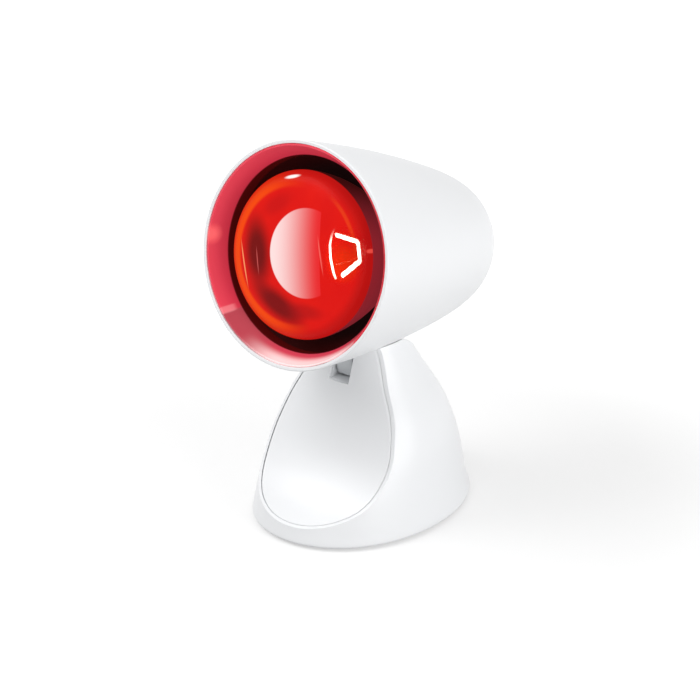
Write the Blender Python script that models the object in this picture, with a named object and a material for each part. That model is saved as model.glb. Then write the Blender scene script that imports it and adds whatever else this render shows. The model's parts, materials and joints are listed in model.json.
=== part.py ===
"""Infrared heat therapy lamp: a bullet-shaped head with a reflector bulb tilts on a bell-shaped foot.

Metres, +Z up. The lamp faces -Y and stands on the floor, z = 0. The origin is below the middle of
the whole lamp. Pieces of the foot are modelled about the middle of the foot, pieces of the head
about the head's own axis, with local +Z running from the mouth to the tail and local +Y down.
"""

import math

import bmesh
import bpy
from mathutils import Matrix, Vector

# General clearances
GAP = 0.0003
OVERRUN = 0.004
HAIR = 0.000001

# Head: a turned shell, cut off square at the mouth
MOUTH_RADIUS = 0.0645
HEAD_LENGTH = 0.167
HEAD_WALL = 0.0021
LIP_ROUND = 0.0006
MOUTH_FORWARD = 0.0644
MOUTH_HEIGHT = 0.1758
HEAD_PITCH = math.radians(13.8)
CONE_SHARE = 0.19
BARREL_SHARE = 0.27
TAIL_POWER = 16
HEAD_STATION_SHARES = (0.04, 0.18, 0.34, 0.5, 0.64, 0.76, 0.85, 0.91, 0.95, 0.975, 0.992)
HEAD_SIDES = 36
UNDERSIDE_STEPS = 12

# Vent slots under the tail
VENT_COUNT = 7
VENT_WIDTH = 0.0024
VENT_PITCH = 0.0066
VENT_START = 0.118
VENT_LENGTH = 0.024

# Bezel: the glossy funnel inside the mouth
BEZEL_DEPTH = 0.0123
BEZEL_SKIRT = 0.0085
BEZEL_WALL = 0.0015
BEZEL_RUN = 0.0069
BEZEL_COLLAR = 0.0042
BEZEL_TOE_SHARE = 0.9

# Heat shield: a dark cone of sheet between the bulb and the plastic
SHIELD_WALL = 0.0008
SHIELD_WAIST = 0.0262
SHIELD_WAIST_DEPTH = 0.1
SHIELD_FLANGE = 0.0042

# Reflector bulb
BULB_GAP = 0.008
BULB_DEPTH = 0.0098
BULB_SHOULDER = 0.008
BULB_DOME_RADIUS = 0.2
BULB_WALL = 0.0009
BULB_NECK_RADIUS = 0.0185
BULB_NECK_DEPTH = 0.083
BULB_END_DEPTH = 0.104
BULB_SIDES = 24
BOWL_POWER = 1.55
WAIST_SHARE = 0.94
BOWL_STEPS = 5

# Screw cap of the bulb and its end
CAP_RADIUS = 0.0131
CAP_WALL = 0.0005
CAP_START = 0.1
CAP_LENGTH = 0.0225
INSULATOR_LENGTH = 0.0036
CAP_TAPER_SHARE = 0.86
TIP_RADIUS = 0.0046
TIP_LENGTH = 0.0016
TIP_TAPER_SHARE = 0.8

# Stem, lead wires and filament inside the bulb
STEM_RADIUS = 0.0052
STEM_TOP = 0.066
STEM_TAPER_SHARE = 0.7
STEM_PRESS_WIDTH = 0.0108
STEM_PRESS_LENGTH = 0.012
LEAD_RADIUS = 0.0005
LEAD_SPREAD = 0.0042
FILAMENT_DEPTH = 0.047
FILAMENT_RING = 0.0105
FILAMENT_RADIUS = 0.0009
FILAMENT_SWEEP = math.radians(236)
FILAMENT_POINTS = 18
LEAD_KNEE_SHARE = 0.8

# Lampholder, its ring and the strap that carries it
HOLDER_RADIUS = 0.0195
HOLDER_CHAMFER = 0.0034
HOLDER_START = 0.0985
HOLDER_FLOOR = 0.005
HOLDER_FLANGE_RADIUS = 0.0228
HOLDER_FLANGE = 0.0022
HOLDER_SIDES = 20
SHELL_WALL = 0.0006
SHELL_LENGTH = 0.021
TONGUE_RADIUS = 0.0042
TONGUE_LENGTH = 0.0032
TONGUE_TAPER_SHARE = 0.7
RING_LENGTH = 0.0045
RING_RADIUS = 0.0232
STRAP_START = 0.1082
STRAP_THICK = 0.0015
STRAP_WIDTH = 0.05
STRAP_MARGIN = 0.0051
STRAP_SCREW_MARGIN = 0.005
STRAP_BOSS_RADIUS = 0.004

# Screws: one radius for each kind, cross-recess drives are left smooth
SCREW_RADIUS = 0.0014
SCREW_HEAD_RADIUS = 0.0029
SCREW_HEAD = 0.0018
SCREW_LENGTH = 0.008
SCREW_SIDES = 8
SCREW_DOME_SHARE = 0.7

# Tilt hinge, in the foot's own frame
PIVOT_BACK = 0.006
PIVOT_DROP = 0.006784
PIN_RADIUS = 0.0025
PIN_HEAD_RADIUS = 0.0044
PIN_HEAD = 0.0014
PIN_BOSS_RADIUS = 0.0056
PIN_BOSS_REACH = 0.018
PIN_SIDES = 12
CLIP_RADIUS = 0.0047
CLIP_THICK = 0.0009
WASHER_RADIUS = 0.0056
WASHER_THICK = 0.001
TILT_STEPS = 5
TILT_STEP = math.radians(6)

# Tilt arm: plate in the head, eye on the pin and toothed segment in the notch
ARM_EYE_RADIUS = 0.0066
ARM_RACK_OUTER = 0.024
ARM_RACK_THICK = 0.0036
ARM_WEB = 0.013
ARM_PLATE_WIDTH = 0.029
ARM_PLATE_MARGIN = 0.003
ARM_PLATE_THICK = 0.0026
ARM_PLATE_RISE = 0.007916
ARM_SCREW_SPACING = 0.0205
ARM_BOSS_RADIUS = 0.0034
ARM_SCREW_DEPTH = 0.0042
ARM_SLOT_MARGIN = 0.0006
EYE_JOIN_SHARE = 0.25
DETENT_RADIUS = 0.001
DETENT_ANGLE = math.radians(177)
RACK_END = math.radians(204.5)
RACK_CREST = math.radians(165)
RACK_TOP = math.radians(143)
ARC_STEPS = 24

# Detent spring: a strip that follows the segment, rooted in the slot's floor
SPRING_THICK = 0.0007
SPRING_WIDTH = 0.009
SPRING_CLEARANCE = 0.0007
SPRING_TOP = math.radians(168)
SPRING_FOOT = math.radians(213)
SPRING_ROOT = 0.0045

# Foot: a lofted bell with a neck, cut by the head's underside
FOOT_HALF_WIDTH = 0.0589
FOOT_HALF_DEPTH = 0.0752
NECK_HALF_WIDTH = 0.0246
NECK_HALF_DEPTH = 0.0237
FOOT_LEAN = 0.0031
FOOT_TOP_RISE = 0.0115
FOOT_EDGE = 0.0016
FOOT_EDGE_ROUND = 0.0022
FOOT_WALL = 0.0024
FOOT_LEVEL_SHARES = (0.0, 0.074, 0.148, 0.29, 0.45, 0.62, 0.8, 1.0, 1.16)
WIDTH_SHARES = (1.0, 0.959, 0.921, 0.86, 0.787, 0.603, 0.286, 0.0, -0.215)
DEPTH_SHARES = (1.0, 0.94, 0.893, 0.808, 0.637, 0.447, 0.235, 0.0, -0.14)
LEAN_SHARES = (0.0, -0.2, -0.3, 0.05, 0.58, 1.0, 0.645, 0.0, -0.85)
FOOT_RINGS = 11
FOOT_SIDES = 40
HOLLOW_SIDES = 24
HOLLOW_RINGS = 8
FOOT_ROUNDNESS = 2.06
HEAD_CLEARANCE = 0.0012

# Front panel: a crowned surface cut across the bell leaves its egg-shaped edge
PANEL_THICK = 0.002
PANEL_LOW_HEIGHT = 0.0087
PANEL_TOP_DROP = 0.002
PANEL_LOW_PROUD = 0.0002
PANEL_HIGH_FORWARD = 0.0176
PANEL_LEVEL_SHARES = (-0.2, 0.0, 0.14, 0.32, 0.53, 0.78, 1.0, 1.2)
PANEL_REACH_SHARES = (1.38, 1.0, 0.644, 0.403, 0.254, 0.111, 0.0, -0.017)
PANEL_CROWN_LOW = 0.225
PANEL_CROWN_MID = 0.106
PANEL_CROWN_TOP = 0.045
PANEL_RIM = 0.0013
PANEL_COLUMNS = 12
PANEL_ROWS = 12
BACK_COLUMNS = 8
BACK_ROWS = 10
PANEL_STUD_RADIUS = 0.002
PANEL_STUD_LENGTH = 0.0062
PANEL_STUD_SPREAD = 0.021
PANEL_STUD_LOW = 0.032
PANEL_STUD_HIGH = 0.062

# Slot between the cheeks of the neck
SLOT_WIDTH = 0.0144
SLOT_DEPTH = 0.0116
SLOT_BACK = 0.02
SLOT_WALL = 0.0026
SLOT_FLOOR_THICK = 0.0085

# Bottom plate, its rubber pads and screws
PLATE_BOTTOM = 0.0019
PLATE_THICK = 0.0026
PLATE_SINK = 0.001
PAD_RADIUS = 0.0068
PAD_RECESS = 0.001
PAD_SIDE_MARGIN = 0.0264
PAD_END_MARGIN = 0.0287
POST_RADIUS = 0.0042
POST_SIDE_MARGIN = 0.0214
POST_FRONT_MARGIN = 0.0542
POST_BACK_MARGIN = 0.0392
PLATE_SCREW_LENGTH = 0.0105

# Ballast slab on the plate
BALLAST_SIDE_MARGIN = 0.0299
BALLAST_END_MARGIN = 0.0392
BALLAST_THICK = 0.009
BALLAST_FORWARD = 0.006
BALLAST_CORNER = 0.006
BALLAST_SCREW_SPACING = 0.034

# Cord inlet, clamp and terminal block at the back
INLET_HEIGHT = 0.0146
GLAND_BORE = 0.0032
GLAND_RADIUS = 0.0052
GLAND_FLANGE_RADIUS = 0.0068
GLAND_FLANGE = 0.0018
GLAND_BOSS_WALL = 0.0014
GLAND_BOSS_LENGTH = 0.0048
GLAND_SLEEVE = 0.0105
GLAND_TIP_RADIUS = 0.0045
GLAND_SIDES = 16
CLAMP_LENGTH = 0.0085
CLAMP_WIDTH = 0.025
CLAMP_THICK = 0.0022
CLAMP_GAP = 0.0037
CLAMP_SCREW_SPACING = 0.017
BLOCK_WIDTH = 0.0185
BLOCK_LENGTH = 0.0105
BLOCK_HEIGHT = 0.0122
BLOCK_GAP = 0.003
BLOCK_BORE = 0.0019
BLOCK_POLES = 2

# Sizes worked out from the ones above
BEZEL_INNER_RADIUS = MOUTH_RADIUS - HEAD_WALL - BEZEL_RUN
BULB_RADIUS = BEZEL_INNER_RADIUS - BULB_GAP
ARM_WIDTH = SLOT_WIDTH - 2 * (WASHER_THICK + 2 * GAP)
RACK_INNER = ARM_RACK_OUTER - ARM_RACK_THICK
PLATE_TOP = PLATE_BOTTOM + PLATE_THICK
PAD_ACROSS = FOOT_HALF_WIDTH - PAD_SIDE_MARGIN
PAD_ALONG = FOOT_HALF_DEPTH - PAD_END_MARGIN
POST_ACROSS = FOOT_HALF_WIDTH - POST_SIDE_MARGIN
POST_FRONT = FOOT_HALF_DEPTH - POST_FRONT_MARGIN
POST_BACK = FOOT_HALF_DEPTH - POST_BACK_MARGIN
BALLAST_WIDTH = 2 * (FOOT_HALF_WIDTH - BALLAST_SIDE_MARGIN)
BALLAST_LENGTH = 2 * (FOOT_HALF_DEPTH - BALLAST_END_MARGIN)
PANEL_LOW_FORWARD = FOOT_HALF_DEPTH + PANEL_LOW_PROUD
SADDLE_TOP = INLET_HEIGHT - GAP / 2

# Angle above which an edge stays crisp
CRISP_ANGLE = math.radians(32)


def clear_scene():
    for obj in list(bpy.data.objects):
        bpy.data.objects.remove(obj, do_unlink=True)
    for mesh in list(bpy.data.meshes):
        bpy.data.meshes.remove(mesh)


def smooth_value(places, values, place):
    """Value at a place between listed ones, on a cubic through them."""
    last = len(places) - 2
    index = 0
    while index < last and place > places[index + 1]:
        index += 1
    low, high = places[index], places[index + 1]
    share = (place - low) / (high - low)
    run = high - low

    def slope(at):
        first, second = max(at - 1, 0), min(at + 1, len(places) - 1)
        return (values[second] - values[first]) / (places[second] - places[first])

    start, end = slope(index) * run, slope(index + 1) * run
    square, cube = share ** 2, share ** 3
    return (
        (2 * cube - 3 * square + 1) * values[index]
        + (cube - 2 * square + share) * start
        + (3 * square - 2 * cube) * values[index + 1]
        + (cube - square) * end
    )


def head_radius(along):
    """Outer radius of the head shell at a distance from the mouth."""
    share = along / HEAD_LENGTH
    cone = 1 - CONE_SHARE * share - BARREL_SHARE * share ** 2
    return MOUTH_RADIUS * cone * math.sqrt(max(1 - share ** TAIL_POWER, 0))


def head_stations():
    return [share * HEAD_LENGTH for share in HEAD_STATION_SHARES]


def head_point(along, radius=0.0):
    """Forward and height, in the foot's frame, of a point over the head's axis by the radius."""
    back = along * math.cos(HEAD_PITCH) + radius * math.sin(HEAD_PITCH)
    drop = along * math.sin(HEAD_PITCH) - radius * math.cos(HEAD_PITCH)
    return back - MOUTH_FORWARD, MOUTH_HEIGHT - drop


def underside(back):
    """Height, in the foot's frame, of the head's lower side at a place behind its middle."""
    level = (back + MOUTH_FORWARD) / math.cos(HEAD_PITCH)
    along = level
    for _ in range(UNDERSIDE_STEPS):
        along = level + head_radius(along) * math.tan(HEAD_PITCH)
    return head_point(along, -head_radius(along))[1]


# Heights that follow the head's underside
PIVOT_HEIGHT = underside(PIVOT_BACK) - PIVOT_DROP
ARM_PLATE_HEIGHT = underside(PIVOT_BACK) + ARM_PLATE_RISE
SLOT_FLOOR = PIVOT_HEIGHT - SLOT_DEPTH
FOOT_HEIGHT = PIVOT_HEIGHT + FOOT_TOP_RISE
PANEL_HIGH_HEIGHT = FOOT_HEIGHT - PANEL_TOP_DROP

# The strap spans the inside of the shell
STRAP_LENGTH = 2 * (head_radius(STRAP_START) - HEAD_WALL - STRAP_MARGIN)
STRAP_SCREW_SPACING = STRAP_LENGTH - 2 * STRAP_SCREW_MARGIN

# The lamp's box runs from the lowest point of the mouth to the farthest point of the tail.
BOX_FRONT = head_point(0.0, -MOUTH_RADIUS)[0]
BOX_BACK = max(head_point(at, head_radius(at))[0] for at in head_stations())
FOOT_Y = -(BOX_FRONT + BOX_BACK) / 2
MOUTH_CENTRE = Vector((0.0, FOOT_Y - MOUTH_FORWARD, MOUTH_HEIGHT))
HEAD_TURN = Matrix.Rotation(-(math.pi / 2 + HEAD_PITCH), 4, "X")
PIVOT = Vector((0.0, FOOT_Y + PIVOT_BACK, PIVOT_HEIGHT))
TILT_RANGE = (TILT_STEPS - 1) * TILT_STEP


def material(name, colour, roughness, metallic=0.0):
    made = bpy.data.materials.new(name)
    made.use_nodes = True
    shader = made.node_tree.nodes["Principled BSDF"]
    shader.inputs["Base Color"].default_value = (*colour, 1.0)
    shader.inputs["Roughness"].default_value = roughness
    shader.inputs["Metallic"].default_value = metallic
    made.diffuse_color = (*colour, 1.0)
    return made


def materials():
    return {
        "white": material("white_plastic", (0.84, 0.85, 0.86), 0.32),
        "bezel": material("bezel_gloss_white", (0.86, 0.84, 0.84), 0.12),
        "red_glass": material("red_bulb_glass", (0.62, 0.02, 0.02), 0.05),
        "clear_glass": material("stem_glass", (0.75, 0.78, 0.76), 0.05),
        "filament": material("glowing_filament", (1.0, 0.62, 0.3), 0.5),
        "brass": material("cap_brass", (0.72, 0.58, 0.32), 0.3, 1.0),
        "tin": material("contact_tin", (0.66, 0.66, 0.64), 0.4, 1.0),
        "ceramic": material("holder_ceramic", (0.82, 0.8, 0.75), 0.35),
        "steel": material("zinc_steel", (0.6, 0.6, 0.62), 0.35, 1.0),
        "spring": material("spring_steel", (0.42, 0.43, 0.46), 0.3, 1.0),
        "iron": material("ballast_iron", (0.12, 0.12, 0.13), 0.6, 0.8),
        "shield": material("shield_coat", (0.05, 0.045, 0.045), 0.55, 0.6),
        "grey": material("arm_nylon", (0.7, 0.72, 0.74), 0.45),
        "plate": material("plate_plastic", (0.55, 0.57, 0.6), 0.5),
        "rubber": material("pad_rubber", (0.1, 0.1, 0.11), 0.8),
        "block": material("block_plastic", (0.78, 0.76, 0.7), 0.5),
    }


def finish(name, bm, finish_material, smooth=False, angle=CRISP_ANGLE):
    """A mesh object from the bmesh, with outward faces."""
    bmesh.ops.recalc_face_normals(bm, faces=bm.faces)
    mesh = bpy.data.meshes.new(name)
    bm.to_mesh(mesh)
    bm.free()
    if smooth:
        mesh.shade_smooth()
        mesh.set_sharp_from_angle(angle=angle)
    obj = bpy.data.objects.new(name, mesh)
    bpy.context.scene.collection.objects.link(obj)
    if finish_material:
        mesh.materials.append(finish_material)
    return obj


def turned(outline, sides, closed=False):
    """Bmesh of the outline, pairs of radius and height, spun about the local Z axis."""
    bm = bmesh.new()
    points = [bm.verts.new((radius, 0.0, height)) for radius, height in outline]
    pairs = list(zip(points, points[1:]))
    if closed:
        pairs.append((points[-1], points[0]))
    edges = [bm.edges.new(pair) for pair in pairs]
    bmesh.ops.spin(
        bm,
        geom=points + edges,
        axis=(0.0, 0.0, 1.0),
        cent=(0.0, 0.0, 0.0),
        angle=2 * math.pi,
        steps=sides,
        use_merge=True,
    )
    bmesh.ops.remove_doubles(bm, verts=bm.verts, dist=HAIR)
    return bm


def prism(outline, low, high, axis):
    """Bmesh of a flat outline carried from low to high along the axis, 0, 1 or 2."""
    bm = bmesh.new()
    place = {
        0: lambda a, b: (low, a, b),
        1: lambda a, b: (a, low, b),
        2: lambda a, b: (a, b, low),
    }[axis]
    face = bm.faces.new([bm.verts.new(place(a, b)) for a, b in outline])
    grown = bmesh.ops.extrude_face_region(bm, geom=[face])
    shift = Vector((0.0, 0.0, 0.0))
    shift[axis] = high - low
    moved = [item for item in grown["geom"] if isinstance(item, bmesh.types.BMVert)]
    bmesh.ops.translate(bm, vec=shift, verts=moved)
    return bm


def box(low, high):
    outline = [(low[0], low[1]), (high[0], low[1]), (high[0], high[1]), (low[0], high[1])]
    return prism(outline, low[2], high[2], 2)


def circle(centre, radius, sides):
    turn = 2 * math.pi / sides
    return [
        (centre[0] + radius * math.cos(step * turn), centre[1] + radius * math.sin(step * turn))
        for step in range(sides)
    ]


def rod(centre, radius, low, high, axis, sides=SCREW_SIDES):
    return prism(circle(centre, radius, sides), low, high, axis)


def rounded_rectangle(width, length, corner, steps=5):
    points = []
    for quarter in range(4):
        across = (width / 2 - corner) * (1 if quarter in (0, 3) else -1)
        along = (length / 2 - corner) * (1 if quarter in (0, 1) else -1)
        for step in range(steps + 1):
            angle = (quarter + step / steps) * math.pi / 2
            points.append((across + corner * math.cos(angle), along + corner * math.sin(angle)))
    return points


def cut(obj, bm, operation="DIFFERENCE", solver="EXACT"):
    """Cut the object with the bmesh, or join or keep what they share."""
    cutter = finish("cutter", bm, None)
    cutter.hide_render = True
    cutter.display_type = "WIRE"
    apply_boolean(obj, cutter, operation, solver)
    bpy.data.objects.remove(cutter, do_unlink=True)


def apply_boolean(obj, other, operation, solver="EXACT"):
    modifier = obj.modifiers.new("cut", "BOOLEAN")
    modifier.object = other
    modifier.operation = operation
    modifier.solver = solver
    with bpy.context.temp_override(object=obj, active_object=obj):
        bpy.ops.object.modifier_apply(modifier=modifier.name)


def carve(obj, bm):
    """Cut with the solver that copes with the many crossing facets of lofted pieces."""
    cut(obj, bm, "DIFFERENCE", "MANIFOLD")


def place_in_foot(obj):
    obj.location = (0.0, FOOT_Y, 0.0)
    return obj


def place_in_head(obj):
    obj.matrix_world = Matrix.Translation(MOUTH_CENTRE) @ HEAD_TURN
    return obj


def screw_outline(length, top=0.0):
    """Pan-head screw: the head stands on the top plane, the shank runs down from it."""
    dome = SCREW_HEAD_RADIUS * SCREW_DOME_SHARE
    return [
        (0.0, top + SCREW_HEAD),
        (dome, top + SCREW_HEAD),
        (SCREW_HEAD_RADIUS, top + SCREW_HEAD / 2),
        (SCREW_HEAD_RADIUS, top),
        (SCREW_RADIUS, top),
        (SCREW_RADIUS, top - length),
        (0.0, top - length - SCREW_RADIUS),
    ]


def screw(name, position, direction, length, finish_material):
    """Screw whose head seats at the position and whose shank points along the direction."""
    obj = finish(name, turned(screw_outline(length), SCREW_SIDES), finish_material, True)
    turn = Vector((0.0, 0.0, -1.0)).rotation_difference(Vector(direction))
    obj.matrix_world = Matrix.Translation(position) @ turn.to_matrix().to_4x4()
    return obj


# Head


def head_outline(outset=0.0, lip=LIP_ROUND):
    """Outer outline of the head from its mouth edge to its tail."""
    points = [(MOUTH_RADIUS - lip + outset, -outset), (MOUTH_RADIUS + outset, lip - outset)]
    points += [(head_radius(at) + outset, at) for at in head_stations()]
    points.append((0.0, HEAD_LENGTH + outset))
    return points


def head_inner_outline():
    points = [(MOUTH_RADIUS - HEAD_WALL, -OVERRUN)]
    points += [
        (max(head_radius(at) - HEAD_WALL, 0.0), at)
        for at in head_stations()
        if at < HEAD_LENGTH - 2 * HEAD_WALL
    ]
    points.append((0.0, HEAD_LENGTH - HEAD_WALL))
    return points


def to_head_frame(bm):
    """Bring a bmesh modelled in the foot's frame into the head's frame."""
    world = Matrix.Translation((0.0, FOOT_Y, 0.0))
    head = (Matrix.Translation(MOUTH_CENTRE) @ HEAD_TURN).inverted()
    bmesh.ops.transform(bm, matrix=head @ world, verts=bm.verts)
    return bm


def arm_boss_spots():
    """Across and back positions of the arm's screws, in the foot's frame."""
    half = ARM_SCREW_SPACING / 2
    return [(side * half, PIVOT_BACK - ARM_WEB / 2) for side in (-1, 1)]


def make_head_shell(finish_material):
    hollow_outline = head_inner_outline()
    hollow = finish("cutter_hollow", turned([(0.0, -OVERRUN)] + hollow_outline, HEAD_SIDES), None)
    hollow.hide_render = True
    hollow.display_type = "WIRE"
    half_span = STRAP_SCREW_SPACING / 2
    for side in (-1, 1):
        boss = rod(
            (side * half_span, 0.0),
            STRAP_BOSS_RADIUS,
            STRAP_START + STRAP_THICK + GAP,
            HEAD_LENGTH,
            2,
        )
        cut(hollow, boss)
    for across, back in arm_boss_spots():
        boss = rod(
            (across, back),
            ARM_BOSS_RADIUS,
            PIVOT_HEIGHT,
            ARM_PLATE_HEIGHT - GAP,
            2,
        )
        cut(hollow, to_head_frame(boss))
    shell = finish(
        "head_shell",
        turned([(0.0, 0.0)] + head_outline(), HEAD_SIDES),
        finish_material,
    )
    apply_boolean(shell, hollow, "DIFFERENCE")
    bpy.data.objects.remove(hollow, do_unlink=True)
    for side in (-1, 1):
        hole = rod(
            (side * half_span, 0.0),
            SCREW_RADIUS + GAP,
            STRAP_START,
            STRAP_START + STRAP_THICK + SCREW_LENGTH + SCREW_RADIUS + GAP,
            2,
        )
        carve(shell, hole)
    for across, back in arm_boss_spots():
        hole = rod(
            (across, back),
            SCREW_RADIUS + GAP,
            ARM_PLATE_HEIGHT - ARM_SCREW_DEPTH - GAP,
            ARM_PLATE_HEIGHT + OVERRUN,
            2,
        )
        carve(shell, to_head_frame(hole))
    half = ARM_WIDTH / 2 + GAP
    slot = box(
        (-half, PIVOT_BACK - ARM_RACK_OUTER - ARM_SLOT_MARGIN, PIVOT_HEIGHT),
        (half, PIVOT_BACK + ARM_WEB / 2 + ARM_SLOT_MARGIN, ARM_PLATE_HEIGHT - GAP),
    )
    carve(shell, to_head_frame(slot))
    for index in range(VENT_COUNT):
        across = (index - (VENT_COUNT - 1) / 2) * VENT_PITCH
        half = VENT_WIDTH / 2
        vent = box(
            (across - half, head_radius(VENT_START) / 4, VENT_START),
            (across + half, MOUTH_RADIUS, VENT_START + VENT_LENGTH),
        )
        carve(shell, vent)
    shell.data.shade_smooth()
    shell.data.set_sharp_from_angle(angle=CRISP_ANGLE)
    return place_in_head(shell)


def make_front_bezel(finish_material):
    rim = MOUTH_RADIUS - HEAD_WALL - GAP
    skirt_end = BEZEL_DEPTH + BEZEL_SKIRT
    outer = BEZEL_INNER_RADIUS + BEZEL_WALL
    outline = [
        (rim - BEZEL_WALL / 2, LIP_ROUND),
        (BEZEL_INNER_RADIUS + BEZEL_WALL / 2, BEZEL_DEPTH * BEZEL_TOE_SHARE),
        (BEZEL_INNER_RADIUS, BEZEL_DEPTH + BEZEL_WALL / 2),
        (BEZEL_INNER_RADIUS, skirt_end),
        (outer, skirt_end),
        (outer, BEZEL_DEPTH + BEZEL_WALL),
        (rim - BEZEL_WALL, BEZEL_COLLAR),
        (head_radius(BEZEL_COLLAR) - HEAD_WALL - GAP, BEZEL_COLLAR),
        (rim, LIP_ROUND),
    ]
    bezel = finish("front_bezel", turned(outline, HEAD_SIDES, True), finish_material, True)
    return place_in_head(bezel)


def make_heat_shield(finish_material):
    start = BEZEL_DEPTH + BEZEL_SKIRT + GAP
    end = STRAP_START - GAP
    mouth = BEZEL_INNER_RADIUS + BEZEL_WALL - SHIELD_WALL / 2
    outline = [
        (mouth, start),
        (SHIELD_WAIST, SHIELD_WAIST_DEPTH),
        (SHIELD_WAIST, end),
        (SHIELD_WAIST + SHIELD_FLANGE, end),
        (SHIELD_WAIST + SHIELD_FLANGE, end - SHIELD_WALL),
        (SHIELD_WAIST + SHIELD_WALL, end - SHIELD_WALL),
        (SHIELD_WAIST + SHIELD_WALL, SHIELD_WAIST_DEPTH + SHIELD_WALL / 2),
        (mouth + SHIELD_WALL, start),
    ]
    shield = finish("heat_shield", turned(outline, HEAD_SIDES, True), finish_material, True)
    return place_in_head(shield)


def bowl_radius(along, inset):
    """Radius of the bulb's reflector between its widest ring and its neck."""
    share = (along - BULB_DEPTH) / (BULB_NECK_DEPTH - BULB_DEPTH)
    drop = (BULB_RADIUS - BULB_NECK_RADIUS) * share ** BOWL_POWER
    return BULB_RADIUS - drop - inset


def bulb_outline(inset):
    """Outline of the bulb from the middle of its front to the open end of its neck."""
    ring = BULB_RADIUS - BULB_SHOULDER
    dome = BULB_DOME_RADIUS - inset
    edge_angle = math.asin(ring / (BULB_DOME_RADIUS - BULB_SHOULDER))
    apex = BULB_DEPTH - BULB_SHOULDER * math.cos(edge_angle)
    apex -= BULB_DOME_RADIUS * (1 - math.cos(edge_angle))
    points = []
    for step in range(4):
        angle = edge_angle * step / 4
        points.append((dome * math.sin(angle), apex + BULB_DOME_RADIUS - dome * math.cos(angle)))
    round_radius = BULB_SHOULDER - inset
    for step in range(6):
        angle = edge_angle + (math.pi / 2 - edge_angle) * step / 5
        points.append(
            (ring + round_radius * math.sin(angle), BULB_DEPTH - round_radius * math.cos(angle))
        )
    run = BULB_NECK_DEPTH - BULB_DEPTH
    for step in range(1, BOWL_STEPS + 1):
        along = BULB_DEPTH + run * step / BOWL_STEPS
        points.append((bowl_radius(along, inset), along))
    return points


def make_bulb(finishes):
    neck = CAP_RADIUS - CAP_WALL - GAP
    waist = (BULB_NECK_DEPTH + CAP_START) / 2
    outer = bulb_outline(0.0)
    outer += [(BULB_NECK_RADIUS * WAIST_SHARE, waist), (neck, CAP_START), (neck, BULB_END_DEPTH)]
    inner = bulb_outline(BULB_WALL)
    inner += [
        (BULB_NECK_RADIUS * WAIST_SHARE - BULB_WALL, waist),
        (neck - BULB_WALL, CAP_START),
        (neck - BULB_WALL, BULB_END_DEPTH),
    ]
    outline = outer + inner[::-1]
    glass = finish("bulb_glass", turned(outline, BULB_SIDES), finishes["red_glass"], True)
    place_in_head(glass)
    cap_end = CAP_START + CAP_LENGTH
    cap_outline = [
        (CAP_RADIUS, CAP_START + GAP),
        (CAP_RADIUS, cap_end),
        (CAP_RADIUS * CAP_TAPER_SHARE, cap_end + INSULATOR_LENGTH / 3),
        (CAP_RADIUS * CAP_TAPER_SHARE - CAP_WALL, cap_end + INSULATOR_LENGTH / 3),
        (CAP_RADIUS - CAP_WALL, cap_end - CAP_WALL),
        (CAP_RADIUS - CAP_WALL, CAP_START + GAP),
    ]
    cap = finish("bulb_cap", turned(cap_outline, HOLDER_SIDES, True), finishes["brass"], True)
    place_in_head(cap)
    disc = CAP_RADIUS * CAP_TAPER_SHARE - CAP_WALL - GAP
    insulator_outline = [
        (0.0, cap_end),
        (disc, cap_end),
        (disc, cap_end + INSULATOR_LENGTH / 2),
        (TIP_RADIUS + CAP_WALL, cap_end + INSULATOR_LENGTH),
        (0.0, cap_end + INSULATOR_LENGTH),
    ]
    insulator = finish(
        "cap_insulator", turned(insulator_outline, HOLDER_SIDES), finishes["rubber"], True
    )
    place_in_head(insulator)
    tip = cap_end + INSULATOR_LENGTH + GAP
    contact_outline = [
        (0.0, tip),
        (TIP_RADIUS, tip),
        (TIP_RADIUS * TIP_TAPER_SHARE, tip + TIP_LENGTH),
        (0.0, tip + TIP_LENGTH),
    ]
    contact = finish("bulb_contact", turned(contact_outline, SCREW_SIDES), finishes["tin"], True)
    place_in_head(contact)
    press = STEM_TOP + STEM_PRESS_LENGTH
    stem = finish(
        "bulb_stem",
        turned(
            [
                (0.0, press - STEM_RADIUS / 5),
                (STEM_RADIUS * STEM_TAPER_SHARE, press - STEM_RADIUS / 5),
                (STEM_RADIUS, press + STEM_RADIUS),
                (STEM_RADIUS, CAP_START),
                (neck - BULB_WALL - GAP, BULB_END_DEPTH),
                (0.0, BULB_END_DEPTH),
            ],
            SCREW_SIDES,
        ),
        finishes["clear_glass"],
        True,
    )
    half = STEM_PRESS_WIDTH / 2
    slab = box(
        (-STEM_RADIUS / 2, -half, STEM_TOP),
        (STEM_RADIUS / 2, half, press + STEM_RADIUS),
    )
    cut(stem, slab, "UNION")
    place_in_head(stem)


def tube(name, points, radius, resolution, finish_material):
    """Round wire through the points, with closed ends."""
    curve = bpy.data.curves.new(name, "CURVE")
    curve.dimensions = "3D"
    curve.bevel_depth = radius
    curve.bevel_resolution = resolution
    curve.use_fill_caps = True
    spline = curve.splines.new("POLY")
    spline.points.add(len(points) - 1)
    for item, place in zip(spline.points, points):
        item.co = (*place, 1.0)
    curve.materials.append(finish_material)
    obj = bpy.data.objects.new(name, curve)
    bpy.context.scene.collection.objects.link(obj)
    return place_in_head(obj)


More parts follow.
